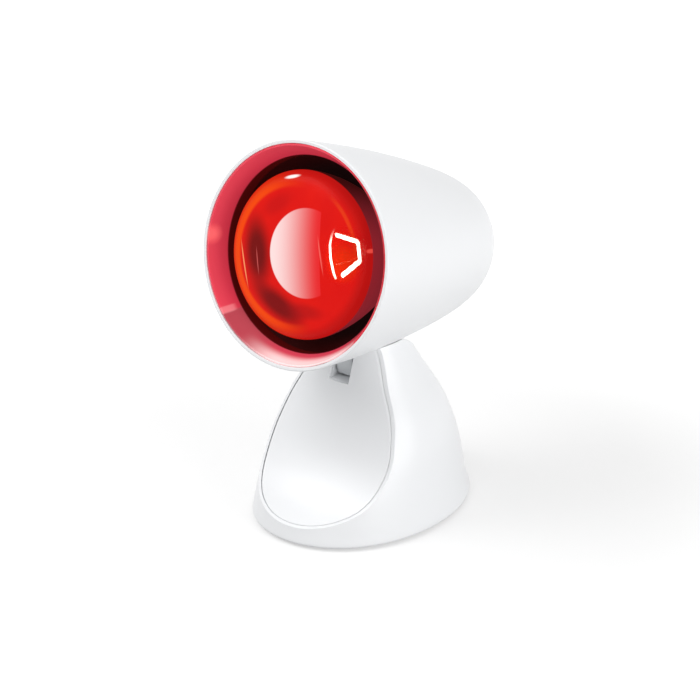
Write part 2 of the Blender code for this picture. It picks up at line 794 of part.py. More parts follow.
def make_filament(finishes):
    start = math.pi - FILAMENT_SWEEP / 2
    arc = []
    for step in range(FILAMENT_POINTS):
        angle = start + FILAMENT_SWEEP * step / (FILAMENT_POINTS - 1)
        arc.append(
            (-FILAMENT_RING * math.cos(angle), FILAMENT_RING * math.sin(angle), FILAMENT_DEPTH)
        )
    tube("filament", arc, FILAMENT_RADIUS, 1, finishes["filament"])
    for index, end in enumerate((arc[0], arc[-1]), start=1):
        lift = FILAMENT_DEPTH + FILAMENT_RADIUS + LEAD_RADIUS + GAP
        foot = (0.0, math.copysign(LEAD_SPREAD, end[1]), STEM_TOP - GAP)
        knee = (end[0] / 2, end[1] * LEAD_KNEE_SHARE, (lift + STEM_TOP) / 2)
        hook = (end[0], end[1], lift)
        tube(f"lead_wire_{index}", [foot, knee, hook], LEAD_RADIUS, 1, finishes["tin"])


def make_lampholder(finishes):
    thread_radius = CAP_RADIUS + GAP
    bore = thread_radius + SHELL_WALL + GAP
    tip_end = CAP_START + CAP_LENGTH + INSULATOR_LENGTH + GAP + TIP_LENGTH
    shell_end = tip_end + GAP + TONGUE_LENGTH
    end = shell_end + GAP + HOLDER_FLOOR
    flange_end = STRAP_START - GAP
    flange_start = flange_end - HOLDER_FLANGE
    outline = [
        (bore, HOLDER_START),
        (HOLDER_RADIUS, HOLDER_START),
        (HOLDER_RADIUS, flange_start),
        (HOLDER_FLANGE_RADIUS, flange_start),
        (HOLDER_FLANGE_RADIUS, flange_end),
        (HOLDER_RADIUS, flange_end),
        (HOLDER_RADIUS, end - HOLDER_CHAMFER),
        (HOLDER_RADIUS - HOLDER_CHAMFER, end),
        (0.0, end),
        (0.0, end - HOLDER_FLOOR),
        (bore, end - HOLDER_FLOOR),
    ]
    holder = finish(
        "lampholder", turned(outline, HOLDER_SIDES, True), finishes["ceramic"], True
    )
    place_in_head(holder)
    shell_start = shell_end - SHELL_LENGTH
    shell_outline = [
        (thread_radius, shell_start),
        (thread_radius + SHELL_WALL, shell_start),
        (thread_radius + SHELL_WALL, shell_end),
        (thread_radius, shell_end),
    ]
    shell = finish(
        "holder_thread", turned(shell_outline, HOLDER_SIDES, True), finishes["brass"], True
    )
    place_in_head(shell)
    tongue = finish(
        "holder_contact",
        turned(
            [
                (0.0, shell_end - TONGUE_LENGTH),
                (TONGUE_RADIUS * TONGUE_TAPER_SHARE, shell_end - TONGUE_LENGTH),
                (TONGUE_RADIUS, shell_end),
                (0.0, shell_end),
            ],
            SCREW_SIDES,
        ),
        finishes["brass"],
        True,
    )
    place_in_head(tongue)
    strap_end = STRAP_START + STRAP_THICK
    ring_outline = [
        (HOLDER_RADIUS + GAP, strap_end + GAP),
        (RING_RADIUS, strap_end + GAP),
        (RING_RADIUS, strap_end + RING_LENGTH),
        (HOLDER_RADIUS + GAP, strap_end + RING_LENGTH),
    ]
    ring = finish("holder_ring", turned(ring_outline, HOLDER_SIDES, True), finishes["steel"], True)
    place_in_head(ring)
    strap = finish(
        "holder_strap",
        prism(
            rounded_rectangle(STRAP_LENGTH, STRAP_WIDTH, STRAP_WIDTH / 3),
            STRAP_START,
            strap_end,
            2,
        ),
        finishes["steel"],
    )
    through = (STRAP_START - OVERRUN, strap_end + OVERRUN)
    cut(strap, rod((0.0, 0.0), HOLDER_RADIUS + GAP, *through, 2, HOLDER_SIDES))
    half_span = STRAP_SCREW_SPACING / 2
    for side in (-1, 1):
        cut(strap, rod((side * half_span, 0.0), SCREW_RADIUS + GAP, *through, 2))
    place_in_head(strap)
    frame = Matrix.Translation(MOUTH_CENTRE) @ HEAD_TURN
    back = HEAD_TURN.to_3x3() @ Vector((0.0, 0.0, 1.0))
    for index, side in enumerate((-1, 1), start=1):
        seat = frame @ Vector((side * half_span, 0.0, STRAP_START - GAP))
        screw(f"strap_screw_{index}", seat, back, SCREW_LENGTH, finishes["steel"])


# Tilt arm, in the foot's frame and carried by the head

def about_pivot(radius, angle):
    back = PIVOT_BACK + radius * math.cos(angle)
    return back, PIVOT_HEIGHT + radius * math.sin(angle)


def arc_points(radius, start, end, steps):
    return [
        about_pivot(radius, start + (end - start) * step / steps) for step in range(steps + 1)
    ]


def detent_dent(angle, radius, steps=4):
    """Half-round dent in the inner face of the segment, from its lower to its upper edge."""
    centre = about_pivot(RACK_INNER, angle)
    points = []
    for step in range(steps + 1):
        turn = angle - math.pi / 2 + math.pi * (1 - step / steps)
        points.append((centre[0] + radius * math.cos(turn), centre[1] + radius * math.sin(turn)))
    return points


def make_tilt_arm(finish_material):
    plate_low = ARM_PLATE_HEIGHT
    plate_high = ARM_PLATE_HEIGHT + ARM_PLATE_THICK
    web_half = ARM_WEB / 2
    outer = arc_points(ARM_RACK_OUTER, RACK_TOP, RACK_END, ARC_STEPS)
    outline = [(outer[0][0], plate_low + ARM_PLATE_THICK / 2)] + outer
    inner = []
    for index in reversed(range(TILT_STEPS)):
        inner += detent_dent(DETENT_ANGLE + index * TILT_STEP, DETENT_RADIUS + GAP)
    crest = about_pivot(RACK_INNER, RACK_TOP)
    outline += [about_pivot(RACK_INNER, RACK_END)] + inner
    outline += arc_points(RACK_INNER, RACK_CREST, RACK_TOP, 3)
    outline += [
        (crest[0], plate_low - GAP),
        (PIVOT_BACK - web_half, plate_low - GAP),
        (PIVOT_BACK - web_half, PIVOT_HEIGHT + ARM_EYE_RADIUS * EYE_JOIN_SHARE),
    ]
    eye_start = math.pi - math.asin(EYE_JOIN_SHARE)
    eye_end = 3 * math.pi - eye_start
    outline += arc_points(ARM_EYE_RADIUS, eye_start, eye_end, 12)[1:-1]
    outline += [
        (PIVOT_BACK + web_half, PIVOT_HEIGHT + ARM_EYE_RADIUS * EYE_JOIN_SHARE),
        (PIVOT_BACK + web_half, plate_low + ARM_PLATE_THICK / 2),
    ]
    half = ARM_WIDTH / 2
    arm = finish("tilt_arm", prism(outline, -half, half, 0), finish_material)
    plate_half = ARM_PLATE_WIDTH / 2
    plate = box(
        (-plate_half, PIVOT_BACK - ARM_RACK_OUTER - ARM_PLATE_MARGIN, plate_low),
        (plate_half, PIVOT_BACK + web_half + ARM_PLATE_MARGIN, plate_high),
    )
    cut(arm, plate, "UNION")
    for across, back in arm_boss_spots():
        hole = rod(
            (across, back),
            SCREW_RADIUS + GAP,
            plate_low - OVERRUN,
            plate_high + OVERRUN,
            2,
        )
        cut(arm, hole)
    bore = rod(
        (PIVOT_BACK, PIVOT_HEIGHT),
        PIN_RADIUS + GAP,
        -half - OVERRUN,
        half + OVERRUN,
        0,
        PIN_SIDES,
    )
    cut(arm, bore)
    return place_in_foot(arm)


def make_arm_screws(finish_material):
    for index, (across, back) in enumerate(arm_boss_spots(), start=1):
        seat = Vector((across, FOOT_Y + back, ARM_PLATE_HEIGHT + ARM_PLATE_THICK + GAP))
        length = ARM_SCREW_DEPTH + ARM_PLATE_THICK - SCREW_RADIUS
        screw(f"arm_screw_{index}", seat, (0.0, 0.0, -1.0), length, finish_material)


def make_hinge_pin(finishes):
    reach = PIN_BOSS_REACH + GAP
    centre = (PIVOT_BACK, PIVOT_HEIGHT)
    pin = finish(
        "pivot_pin",
        rod(
            centre,
            PIN_RADIUS,
            -reach - PIN_HEAD / 2,
            reach + PIN_HEAD + CLIP_THICK,
            0,
            PIN_SIDES,
        ),
        finishes["steel"],
    )
    cut(pin, rod(centre, PIN_HEAD_RADIUS, -reach - PIN_HEAD, -reach, 0, PIN_SIDES), "UNION")
    pin.data.shade_smooth()
    pin.data.set_sharp_from_angle(angle=CRISP_ANGLE)
    place_in_foot(pin)
    clip = finish(
        "pin_clip",
        rod(centre, CLIP_RADIUS, reach, reach + CLIP_THICK, 0, PIN_SIDES),
        finishes["spring"],
    )
    inside = rod(centre, PIN_RADIUS + GAP, reach - OVERRUN, reach + OVERRUN, 0, PIN_SIDES)
    cut(clip, inside)
    place_in_foot(clip)
    half = ARM_WIDTH / 2 + GAP
    for index, side in enumerate((-1, 1), start=1):
        low, high = sorted((side * half, side * (half + WASHER_THICK)))
        washer = finish(
            f"pivot_washer_{index}",
            rod(centre, WASHER_RADIUS, low, high, 0, PIN_SIDES),
            finishes["spring"],
        )
        bore = rod(centre, PIN_RADIUS + GAP, low - OVERRUN, high + OVERRUN, 0, PIN_SIDES)
        cut(washer, bore)
        place_in_foot(washer)


def spring_radii():
    outer = RACK_INNER - SPRING_CLEARANCE
    return outer - SPRING_THICK, outer


def make_detent_spring(finish_material):
    inner_radius, outer_radius = spring_radii()
    foot = about_pivot(outer_radius, SPRING_FOOT)
    root = SLOT_FLOOR - SPRING_ROOT
    outline = [(foot[0], root)]
    reach = DETENT_RADIUS / outer_radius
    bump = [math.pi / 2 - math.pi * step / 4 for step in range(5)]
    outline += arc_points(outer_radius, SPRING_FOOT, DETENT_ANGLE + 2 * reach, 7)
    for turn in bump:
        crest = (SPRING_CLEARANCE - GAP) * math.cos(turn)
        outline.append(about_pivot(outer_radius + crest, DETENT_ANGLE + reach * math.sin(turn)))
    outline += arc_points(outer_radius, DETENT_ANGLE - 2 * reach, SPRING_TOP, 2)
    outline += arc_points(inner_radius, SPRING_TOP, SPRING_FOOT, 9)[:-1]
    outline += [
        (foot[0] + SPRING_THICK, SLOT_FLOOR + GAP),
        (foot[0] + SPRING_THICK, root),
    ]
    half = SPRING_WIDTH / 2
    spring = finish("detent_spring", prism(outline, -half, half, 0), finish_material)
    return place_in_foot(spring)


# Foot


def foot_levels():
    return [share * FOOT_HEIGHT for share in FOOT_LEVEL_SHARES]


def foot_section(height):
    """Half width, half depth and middle of the bell at a height."""
    levels = foot_levels()
    width_share = smooth_value(levels, WIDTH_SHARES, height)
    depth_share = smooth_value(levels, DEPTH_SHARES, height)
    half_width = NECK_HALF_WIDTH + (FOOT_HALF_WIDTH - NECK_HALF_WIDTH) * width_share
    half_depth = NECK_HALF_DEPTH + (FOOT_HALF_DEPTH - NECK_HALF_DEPTH) * depth_share
    return half_width, half_depth, FOOT_LEAN * smooth_value(levels, LEAN_SHARES, height)


def section_ring(height, inset, sides):
    half_width, half_depth, middle = foot_section(height)
    half_width -= inset
    half_depth -= inset
    power = 2 / FOOT_ROUNDNESS
    ring = []
    for step in range(sides):
        angle = 2 * math.pi * step / sides
        across, along = math.cos(angle), math.sin(angle)
        ring.append(
            (
                half_width * math.copysign(abs(across) ** power, across),
                middle + half_depth * math.copysign(abs(along) ** power, along),
                height,
            )
        )
    return ring


def loft(rings):
    """Closed body through the rings, with flat ends."""
    bm = bmesh.new()
    loops = []
    for ring in rings:
        points = [bm.verts.new(place) for place in ring]
        loops.append([bm.edges.new(pair) for pair in zip(points, points[1:] + points[:1])])
    for low, high in zip(loops, loops[1:]):
        bmesh.ops.bridge_loops(bm, edges=low + high)
    for loop in (loops[0], loops[-1]):
        bmesh.ops.contextual_create(bm, geom=loop)
    bmesh.ops.triangulate(bm, faces=bm.faces)
    return bm


def bell(inset, bottom, top, rings=FOOT_RINGS, sides=FOOT_SIDES):
    heights = [bottom + (top - bottom) * step / (rings - 1) for step in range(rings)]
    return loft([section_ring(height, inset, sides) for height in heights])


def outer_bell():
    """The bell with its rounded bottom edge."""
    rings = []
    steps = 3
    for step in range(steps):
        angle = math.pi / 2 * step / steps
        height = FOOT_EDGE + FOOT_EDGE_ROUND * (1 - math.cos(angle))
        inset = FOOT_EDGE_ROUND * (1 - math.sin(angle))
        rings.append(section_ring(height, inset, FOOT_SIDES))
    start = FOOT_EDGE + FOOT_EDGE_ROUND
    top = FOOT_HEIGHT * FOOT_LEVEL_SHARES[-1]
    for step in range(FOOT_RINGS):
        height = start + (top - start) * step / (FOOT_RINGS - 1)
        rings.append(section_ring(height, 0.0, FOOT_SIDES))
    return loft(rings)


def panel_front(across, height):
    """Y of the crowned front surface, in the foot's frame."""
    rise = PANEL_HIGH_HEIGHT - PANEL_LOW_HEIGHT
    share = (height - PANEL_LOW_HEIGHT) / rise
    reach_share = smooth_value(PANEL_LEVEL_SHARES, PANEL_REACH_SHARES, share)
    reach = PANEL_HIGH_FORWARD + (PANEL_LOW_FORWARD - PANEL_HIGH_FORWARD) * reach_share
    crowns = (PANEL_CROWN_LOW, PANEL_CROWN_MID, PANEL_CROWN_TOP)
    place = min(max(share, 0.0), 1.0)
    bend = smooth_value((0.0, 0.5, 1.0), [1 / crown for crown in crowns], place)
    return -reach + across ** 2 * bend / 2


def crowned_block(offset, depth=None, columns=PANEL_COLUMNS, rows=PANEL_ROWS):
    """Block in front of the crowned surface moved back by the offset, or a slab of that depth."""
    bm = bmesh.new()
    half = FOOT_HALF_WIDTH + OVERRUN
    bottom = -OVERRUN
    top = FOOT_HEIGHT * FOOT_LEVEL_SHARES[-1] + OVERRUN
    grid = []
    for row in range(rows + 1):
        height = bottom + (top - bottom) * row / rows
        line = []
        for column in range(columns + 1):
            across = half * (2 * column / columns - 1)
            line.append(bm.verts.new((across, panel_front(across, height) + offset, height)))
        grid.append(line)
    faces = []
    for low, high in zip(grid, grid[1:]):
        for index in range(columns):
            faces.append(bm.faces.new((low[index], low[index + 1], high[index + 1], high[index])))
    grown = bmesh.ops.extrude_face_region(bm, geom=faces)
    moved = [item for item in grown["geom"] if isinstance(item, bmesh.types.BMVert)]
    front = -2 * FOOT_HALF_DEPTH
    for point in moved:
        point.co.y = front if depth is None else point.co.y - depth
    bmesh.ops.triangulate(bm, faces=bm.faces)
    return bm


def head_cutter(tilt):
    """Head with its clearance, in the foot's frame, tilted up about the pivot."""
    bm = turned([(0.0, -HEAD_CLEARANCE)] + head_outline(HEAD_CLEARANCE), HEAD_SIDES)
    to_foot = Matrix.Translation((0.0, -FOOT_Y, 0.0))
    head = Matrix.Translation(MOUTH_CENTRE) @ HEAD_TURN
    swing = (
        Matrix.Translation(PIVOT)
        @ Matrix.Rotation(-tilt, 4, "X")
        @ Matrix.Translation(-PIVOT)
    )
    bmesh.ops.transform(bm, matrix=to_foot @ swing @ head, verts=bm.verts)
    return bm


def post_spots():
    return [
        (side * POST_ACROSS, back) for side in (-1, 1) for back in (-POST_FRONT, POST_BACK)
    ]


def gland_seat():
    """Y, in the foot's frame, of the flat that the gland's flange rests on."""
    wall = foot_section(INLET_HEIGHT + GLAND_FLANGE_RADIUS + GAP)
    return wall[1] + wall[2] - GAP


def clamp_back():
    return gland_seat() - GLAND_BOSS_LENGTH - CLAMP_GAP - CLAMP_LENGTH / 2


def block_back():
    return clamp_back() - CLAMP_LENGTH / 2 - BLOCK_GAP - BLOCK_LENGTH / 2


def stud_spots():
    return [
        (0.0, PANEL_STUD_LOW),
        (-PANEL_STUD_SPREAD, PANEL_STUD_HIGH),
        (PANEL_STUD_SPREAD, PANEL_STUD_HIGH),
    ]


def make_foot_shell(finish_material):
    hollow = finish(
        "cutter_foot",
        bell(FOOT_WALL, -OVERRUN, FOOT_HEIGHT - FOOT_WALL, HOLLOW_RINGS, HOLLOW_SIDES),
        None,
    )
    hollow.hide_render = True
    hollow.display_type = "WIRE"
    recess = PANEL_THICK + GAP
    carve(hollow, crowned_block(recess + FOOT_WALL, None, BACK_COLUMNS, BACK_ROWS))
    core = box(
        (-SLOT_WIDTH / 2 - SLOT_WALL, -FOOT_HALF_DEPTH, SLOT_FLOOR - SLOT_FLOOR_THICK),
        (SLOT_WIDTH / 2 + SLOT_WALL, SLOT_BACK + SLOT_WALL, FOOT_HEIGHT + OVERRUN),
    )
    carve(hollow, core)
    centre = (PIVOT_BACK, PIVOT_HEIGHT)
    carve(hollow, rod(centre, PIN_BOSS_RADIUS, -PIN_BOSS_REACH, PIN_BOSS_REACH, 0, PIN_SIDES))
    boss = rod(
        (0.0, INLET_HEIGHT),
        GLAND_FLANGE_RADIUS + GLAND_BOSS_WALL,
        gland_seat() - GLAND_BOSS_LENGTH,
        FOOT_HALF_DEPTH,
        1,
        GLAND_SIDES,
    )
    carve(hollow, boss)
    for tilt in (0.0, TILT_RANGE):
        roof = head_cutter(tilt)
        bmesh.ops.translate(roof, vec=(0.0, 0.0, -FOOT_WALL), verts=roof.verts)
        carve(hollow, roof)
    post_low = PLATE_TOP + GAP
    for spot in post_spots():
        carve(hollow, rod(spot, POST_RADIUS, post_low, FOOT_HEIGHT, 2))
    shell = finish("foot_shell", outer_bell(), finish_material)
    apply_boolean(shell, hollow, "DIFFERENCE", "MANIFOLD")
    bpy.data.objects.remove(hollow, do_unlink=True)
    carve(shell, crowned_block(0.0))
    pocket = egg_slab("cutter_pocket", PANEL_RIM, recess, -OVERRUN)
    for tilt in (0.0, TILT_RANGE):
        carve(shell, head_cutter(tilt))
    apply_boolean(shell, pocket, "DIFFERENCE", "MANIFOLD")
    bpy.data.objects.remove(pocket, do_unlink=True)
    half = SLOT_WIDTH / 2
    slot = box((-half, -FOOT_HALF_DEPTH, SLOT_FLOOR), (half, SLOT_BACK, FOOT_HEIGHT + OVERRUN))
    carve(shell, slot)
    reach = PIN_BOSS_REACH + OVERRUN
    carve(shell, rod(centre, PIN_RADIUS + GAP / 2, -reach, reach, 0, PIN_SIDES))
    inner_radius, outer_radius = spring_radii()
    root = about_pivot(outer_radius, SPRING_FOOT)[0]
    half = SPRING_WIDTH / 2 + GAP
    pocket = box(
        (-half, root - GAP, SLOT_FLOOR - SPRING_ROOT - GAP),
        (half, root + SPRING_THICK + GAP, SLOT_FLOOR + OVERRUN),
    )
    carve(shell, pocket)
    for spot in post_spots():
        hole_top = post_low + PLATE_SCREW_LENGTH
        carve(shell, rod(spot, SCREW_RADIUS + GAP, post_low - OVERRUN, hole_top, 2))
    for across, height in stud_spots():
        back = panel_front(across, height)
        hole = rod(
            (across, height),
            PANEL_STUD_RADIUS + GAP,
            back,
            back + PANEL_STUD_LENGTH + OVERRUN,
            1,
        )
        carve(shell, hole)
    centre = (0.0, INLET_HEIGHT)
    outside = FOOT_HALF_DEPTH + OVERRUN
    carve(shell, rod(centre, GLAND_RADIUS + GAP, clamp_back(), outside, 1, GLAND_SIDES))
    flange = GLAND_FLANGE_RADIUS + GAP
    carve(shell, rod(centre, flange, gland_seat(), outside, 1, GLAND_SIDES))
    shell.data.shade_smooth()
    shell.data.set_sharp_from_angle(angle=CRISP_ANGLE)
    return place_in_foot(shell)


def egg_slab(name, inset, back, front, finish_material=None):
    """The part of a crowned slab inside the inset bell, which has an egg-shaped outline."""
    top = FOOT_HEIGHT * FOOT_LEVEL_SHARES[-1] - OVERRUN
    body = finish(name, bell(inset, FOOT_EDGE, top), finish_material)
    cut(body, crowned_block(back, back - front), "INTERSECT", "MANIFOLD")
    return body


def make_front_panel(finish_material):
    panel = egg_slab("front_panel", PANEL_RIM + GAP, PANEL_THICK, 0.0, finish_material)
    carve(panel, head_cutter(0.0))
    half = SLOT_WIDTH / 2
    notch = box((-half, -FOOT_HALF_DEPTH, SLOT_FLOOR), (half, SLOT_BACK, FOOT_HEIGHT + OVERRUN))
    carve(panel, notch)
    for across, height in stud_spots():
        back = panel_front(across, height) + PANEL_THICK / 2
        stud = rod((across, height), PANEL_STUD_RADIUS, back, back + PANEL_STUD_LENGTH, 1)
        cut(panel, stud, "UNION", "MANIFOLD")
    panel.data.shade_smooth()
    panel.data.set_sharp_from_angle(angle=CRISP_ANGLE)
    return place_in_foot(panel)


# Bottom of the foot


def pad_spots():
    return [(x * PAD_ACROSS, y * PAD_ALONG) for x in (-1, 1) for y in (-1, 1)]


def ballast_spots():
    half = BALLAST_SCREW_SPACING / 2
    return [(side * half, -BALLAST_FORWARD) for side in (-1, 1)]


def make_bottom_plate(finish_material):
    low, high = PLATE_BOTTOM, PLATE_TOP
    inset = FOOT_WALL + GAP
    rings = [section_ring(height, inset, HOLLOW_SIDES) for height in (low, high)]
    plate = finish("bottom_plate", loft(rings), finish_material)
    cut(plate, crowned_block(PANEL_THICK + FOOT_WALL + 2 * GAP, None, BACK_COLUMNS, BACK_ROWS))
    saddle_half = CLAMP_WIDTH / 2
    saddle = box(
        (-saddle_half, clamp_back() - CLAMP_LENGTH / 2, high - PLATE_THICK / 2),
        (saddle_half, clamp_back() + CLAMP_LENGTH / 2, SADDLE_TOP),
    )
    cut(plate, saddle, "UNION")
    run = (clamp_back() - CLAMP_LENGTH, clamp_back() + CLAMP_LENGTH)
    cut(plate, rod((0.0, INLET_HEIGHT), GLAND_BORE, *run, 1, GLAND_SIDES))
    for spot in pad_spots():
        cut(plate, rod(spot, PAD_RADIUS + GAP, low - OVERRUN, low + PAD_RECESS, 2, GLAND_SIDES))
    for spot in post_spots():
        cut(plate, rod(spot, SCREW_RADIUS + GAP, low - OVERRUN, high + OVERRUN, 2))
        cut(plate, rod(spot, SCREW_HEAD_RADIUS + GAP, low - OVERRUN, low + PLATE_SINK, 2))
    for spot in ballast_spots() + clamp_spots():
        top = SADDLE_TOP + OVERRUN
        cut(plate, rod(spot, SCREW_RADIUS + GAP, low + PLATE_THICK / 3, top, 2))
    return place_in_foot(plate)


def clamp_spots():
    half = CLAMP_SCREW_SPACING / 2
    return [(side * half, clamp_back()) for side in (-1, 1)]


def make_pads_and_screws(finishes):
    low, high = PLATE_BOTTOM, PLATE_TOP
    top = low + PAD_RECESS - GAP
    chamfer = PAD_RECESS / 2
    outline = [
        (0.0, top),
        (PAD_RADIUS, top),
        (PAD_RADIUS, chamfer),
        (PAD_RADIUS - chamfer, 0.0),
        (0.0, 0.0),
    ]
    for index, (across, along) in enumerate(pad_spots(), start=1):
        pad = finish(
            f"foot_pad_{index}", turned(outline, GLAND_SIDES), finishes["rubber"], True
        )
        pad.location = (across, FOOT_Y + along, 0.0)
    for index, (across, along) in enumerate(post_spots(), start=1):
        seat = Vector((across, FOOT_Y + along, low + PLATE_SINK - GAP))
        length = PLATE_SCREW_LENGTH - SCREW_RADIUS - GAP
        screw(f"plate_screw_{index}", seat, (0.0, 0.0, 1.0), length, finishes["steel"])
    slab = finish(
        "ballast_weight",
        prism(
            [
                (across, along - BALLAST_FORWARD)
                for across, along in rounded_rectangle(
                    BALLAST_WIDTH, BALLAST_LENGTH, BALLAST_CORNER
                )
            ],
            high + GAP,
            high + GAP + BALLAST_THICK,
            2,
        ),
        finishes["iron"],
    )
    for spot in ballast_spots():
        cut(slab, rod(spot, SCREW_RADIUS + GAP, high, high + BALLAST_THICK + OVERRUN, 2))
    place_in_foot(slab)
    for index, (across, along) in enumerate(ballast_spots(), start=1):
        seat = Vector((across, FOOT_Y + along, high + BALLAST_THICK + 2 * GAP))
        length = BALLAST_THICK + PLATE_THICK / 2 - SCREW_RADIUS
        screw(f"ballast_screw_{index}", seat, (0.0, 0.0, -1.0), length, finishes["steel"])


# Cord inlet


def make_inlet(finishes):
    seat = gland_seat() + GAP
    outline = [
        (GLAND_BORE, seat + GLAND_SLEEVE),
        (GLAND_TIP_RADIUS, seat + GLAND_SLEEVE),
        (GLAND_RADIUS, seat + GLAND_FLANGE),
        (GLAND_FLANGE_RADIUS, seat + GLAND_FLANGE),
        (GLAND_FLANGE_RADIUS, seat),
        (GLAND_RADIUS, seat),
        (GLAND_RADIUS, seat - GLAND_BOSS_LENGTH),
        (GLAND_BORE, seat - GLAND_BOSS_LENGTH),
    ]
    gland = finish("cord_gland", turned(outline, GLAND_SIDES, True), finishes["rubber"], True)
    turn = Matrix.Rotation(-math.pi / 2, 4, "X")
    gland.matrix_world = Matrix.Translation((0.0, FOOT_Y, INLET_HEIGHT)) @ turn
    base = SADDLE_TOP + GAP
    half = CLAMP_WIDTH / 2
    clamp = finish(
        "cord_clamp",
        box(
            (-half, clamp_back() - CLAMP_LENGTH / 2, base),
            (half, clamp_back() + CLAMP_LENGTH / 2, INLET_HEIGHT + GLAND_BORE + CLAMP_THICK),
        ),
        finishes["block"],
    )
    run = (clamp_back() - CLAMP_LENGTH, clamp_back() + CLAMP_LENGTH)
    cut(clamp, rod((0.0, INLET_HEIGHT), GLAND_BORE, *run, 1, GLAND_SIDES))
    top = INLET_HEIGHT + GLAND_BORE + CLAMP_THICK
    for spot in clamp_spots():
        cut(clamp, rod(spot, SCREW_RADIUS + GAP, base - OVERRUN, top + OVERRUN, 2))
    place_in_foot(clamp)
    for index, (across, along) in enumerate(clamp_spots(), start=1):
        seat = Vector((across, FOOT_Y + along, top + GAP))
        length = top + GAP - PLATE_TOP + PLATE_THICK / 2 - SCREW_RADIUS
        screw(f"clamp_screw_{index}", seat, (0.0, 0.0, -1.0), length, finishes["steel"])
    low = PLATE_TOP + GAP
    half = BLOCK_WIDTH / 2
    block = finish(
        "terminal_block",
        box(
            (-half, block_back() - BLOCK_LENGTH / 2, low),
            (half, block_back() + BLOCK_LENGTH / 2, low + BLOCK_HEIGHT),
        ),
        finishes["block"],
    )
    middle = low + BLOCK_HEIGHT / 2
    for pole in range(BLOCK_POLES):
        across = (pole - (BLOCK_POLES - 1) / 2) * BLOCK_WIDTH / BLOCK_POLES
        run = (block_back() - BLOCK_LENGTH, block_back() + BLOCK_LENGTH)
        cut(block, rod((across, middle), BLOCK_BORE, *run, 1))
        spot = (across, block_back())
        cut(block, rod(spot, BLOCK_BORE, middle, low + BLOCK_HEIGHT + OVERRUN, 2))
    place_in_foot(block)


def hang_on_pivot(names):
    """Parent the head's pieces to an empty on the tilt axis, which turns the whole head."""
    empty = bpy.data.objects.new("tilt_axis", None)
    empty.location = PIVOT
    bpy.context.scene.collection.objects.link(empty)
    bpy.context.view_layer.update()
    for name in names:
        obj = bpy.data.objects[name]
        world = obj.matrix_world.copy()
        obj.parent = empty
        obj.matrix_parent_inverse = empty.matrix_world.inverted()
        obj.matrix_world = world


def main():
    clear_scene()
    finishes = materials()
    make_head_shell(finishes["white"])
    make_front_bezel(finishes["bezel"])
    make_heat_shield(finishes["shield"])
    make_bulb(finishes)
    make_filament(finishes)
    make_lampholder(finishes)
    make_tilt_arm(finishes["grey"])
    make_arm_screws(finishes["steel"])
    in_head = [obj.name for obj in bpy.data.objects]
    make_hinge_pin(finishes)
    make_detent_spring(finishes["spring"])
    make_foot_shell(finishes["white"])
    make_front_panel(finishes["white"])
    make_bottom_plate(finishes["plate"])
    make_pads_and_screws(finishes)
    make_inlet(finishes)
    hang_on_pivot(in_head)


main()
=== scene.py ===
"""Infrared heat therapy lamp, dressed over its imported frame.

Metres, +Z up, the lamp shines towards -Y. Pieces of the head are modelled about the head's own
axis, from the mouth at zero towards the tail, and pieces of the foot about the middle of the
foot. Each finished piece has its place in its mesh and rides on the foot or on the tilting head.
"""

import json
import math

import bpy
from bpy.props import FloatProperty, FloatVectorProperty, IntProperty, PointerProperty
from mathutils import Matrix, Vector


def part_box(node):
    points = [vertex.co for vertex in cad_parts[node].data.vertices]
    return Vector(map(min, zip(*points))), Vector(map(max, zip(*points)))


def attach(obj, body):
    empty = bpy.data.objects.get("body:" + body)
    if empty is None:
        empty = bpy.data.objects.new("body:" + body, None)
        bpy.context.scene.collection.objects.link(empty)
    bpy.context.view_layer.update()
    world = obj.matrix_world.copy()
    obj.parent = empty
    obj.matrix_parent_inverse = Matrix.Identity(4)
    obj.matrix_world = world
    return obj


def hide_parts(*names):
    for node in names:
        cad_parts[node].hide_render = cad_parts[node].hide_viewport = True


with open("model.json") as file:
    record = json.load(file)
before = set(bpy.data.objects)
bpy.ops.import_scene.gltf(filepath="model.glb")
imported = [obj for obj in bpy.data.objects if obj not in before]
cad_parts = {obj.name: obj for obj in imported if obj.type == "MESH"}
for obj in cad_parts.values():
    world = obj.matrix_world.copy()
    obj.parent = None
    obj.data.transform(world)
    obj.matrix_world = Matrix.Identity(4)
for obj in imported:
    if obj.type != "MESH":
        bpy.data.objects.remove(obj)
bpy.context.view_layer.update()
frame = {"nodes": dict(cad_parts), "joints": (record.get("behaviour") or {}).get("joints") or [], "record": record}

bl_info = {
    "name": "Infrared heat therapy lamp",
    "version": (1, 0, 0),
    "blender": (4, 5, 0),
    "location": "View3D > Sidebar > Heat lamp",
    "description": "Builds the housing, bulb, foot and finishes of a tilting infrared lamp",
    "category": "Add Mesh",
}

# Shares of the forms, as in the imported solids
CONE_SHARE = 0.19
BARREL_SHARE = 0.27
TAIL_POWER = 16
FOOT_LEVEL_SHARES = (0.0, 0.074, 0.148, 0.29, 0.45, 0.62, 0.8, 1.0, 1.16)
WIDTH_SHARES = (1.0, 0.959, 0.921, 0.86, 0.787, 0.603, 0.286, 0.0, -0.215)
DEPTH_SHARES = (1.0, 0.94, 0.893, 0.808, 0.637, 0.447, 0.235, 0.0, -0.14)
LEAN_SHARES = (0.0, -0.2, -0.3, 0.05, 0.58, 1.0, 0.645, 0.0, -0.85)
FOOT_ROUNDNESS = 2.06
PANEL_LEVEL_SHARES = (-0.2, 0.0, 0.14, 0.32, 0.53, 0.78, 1.0, 1.2)
PANEL_REACH_SHARES = (1.38, 1.0, 0.644, 0.403, 0.254, 0.111, 0.0, -0.017)
BOWL_POWER = 1.55
WAIST_SHARE = 0.94

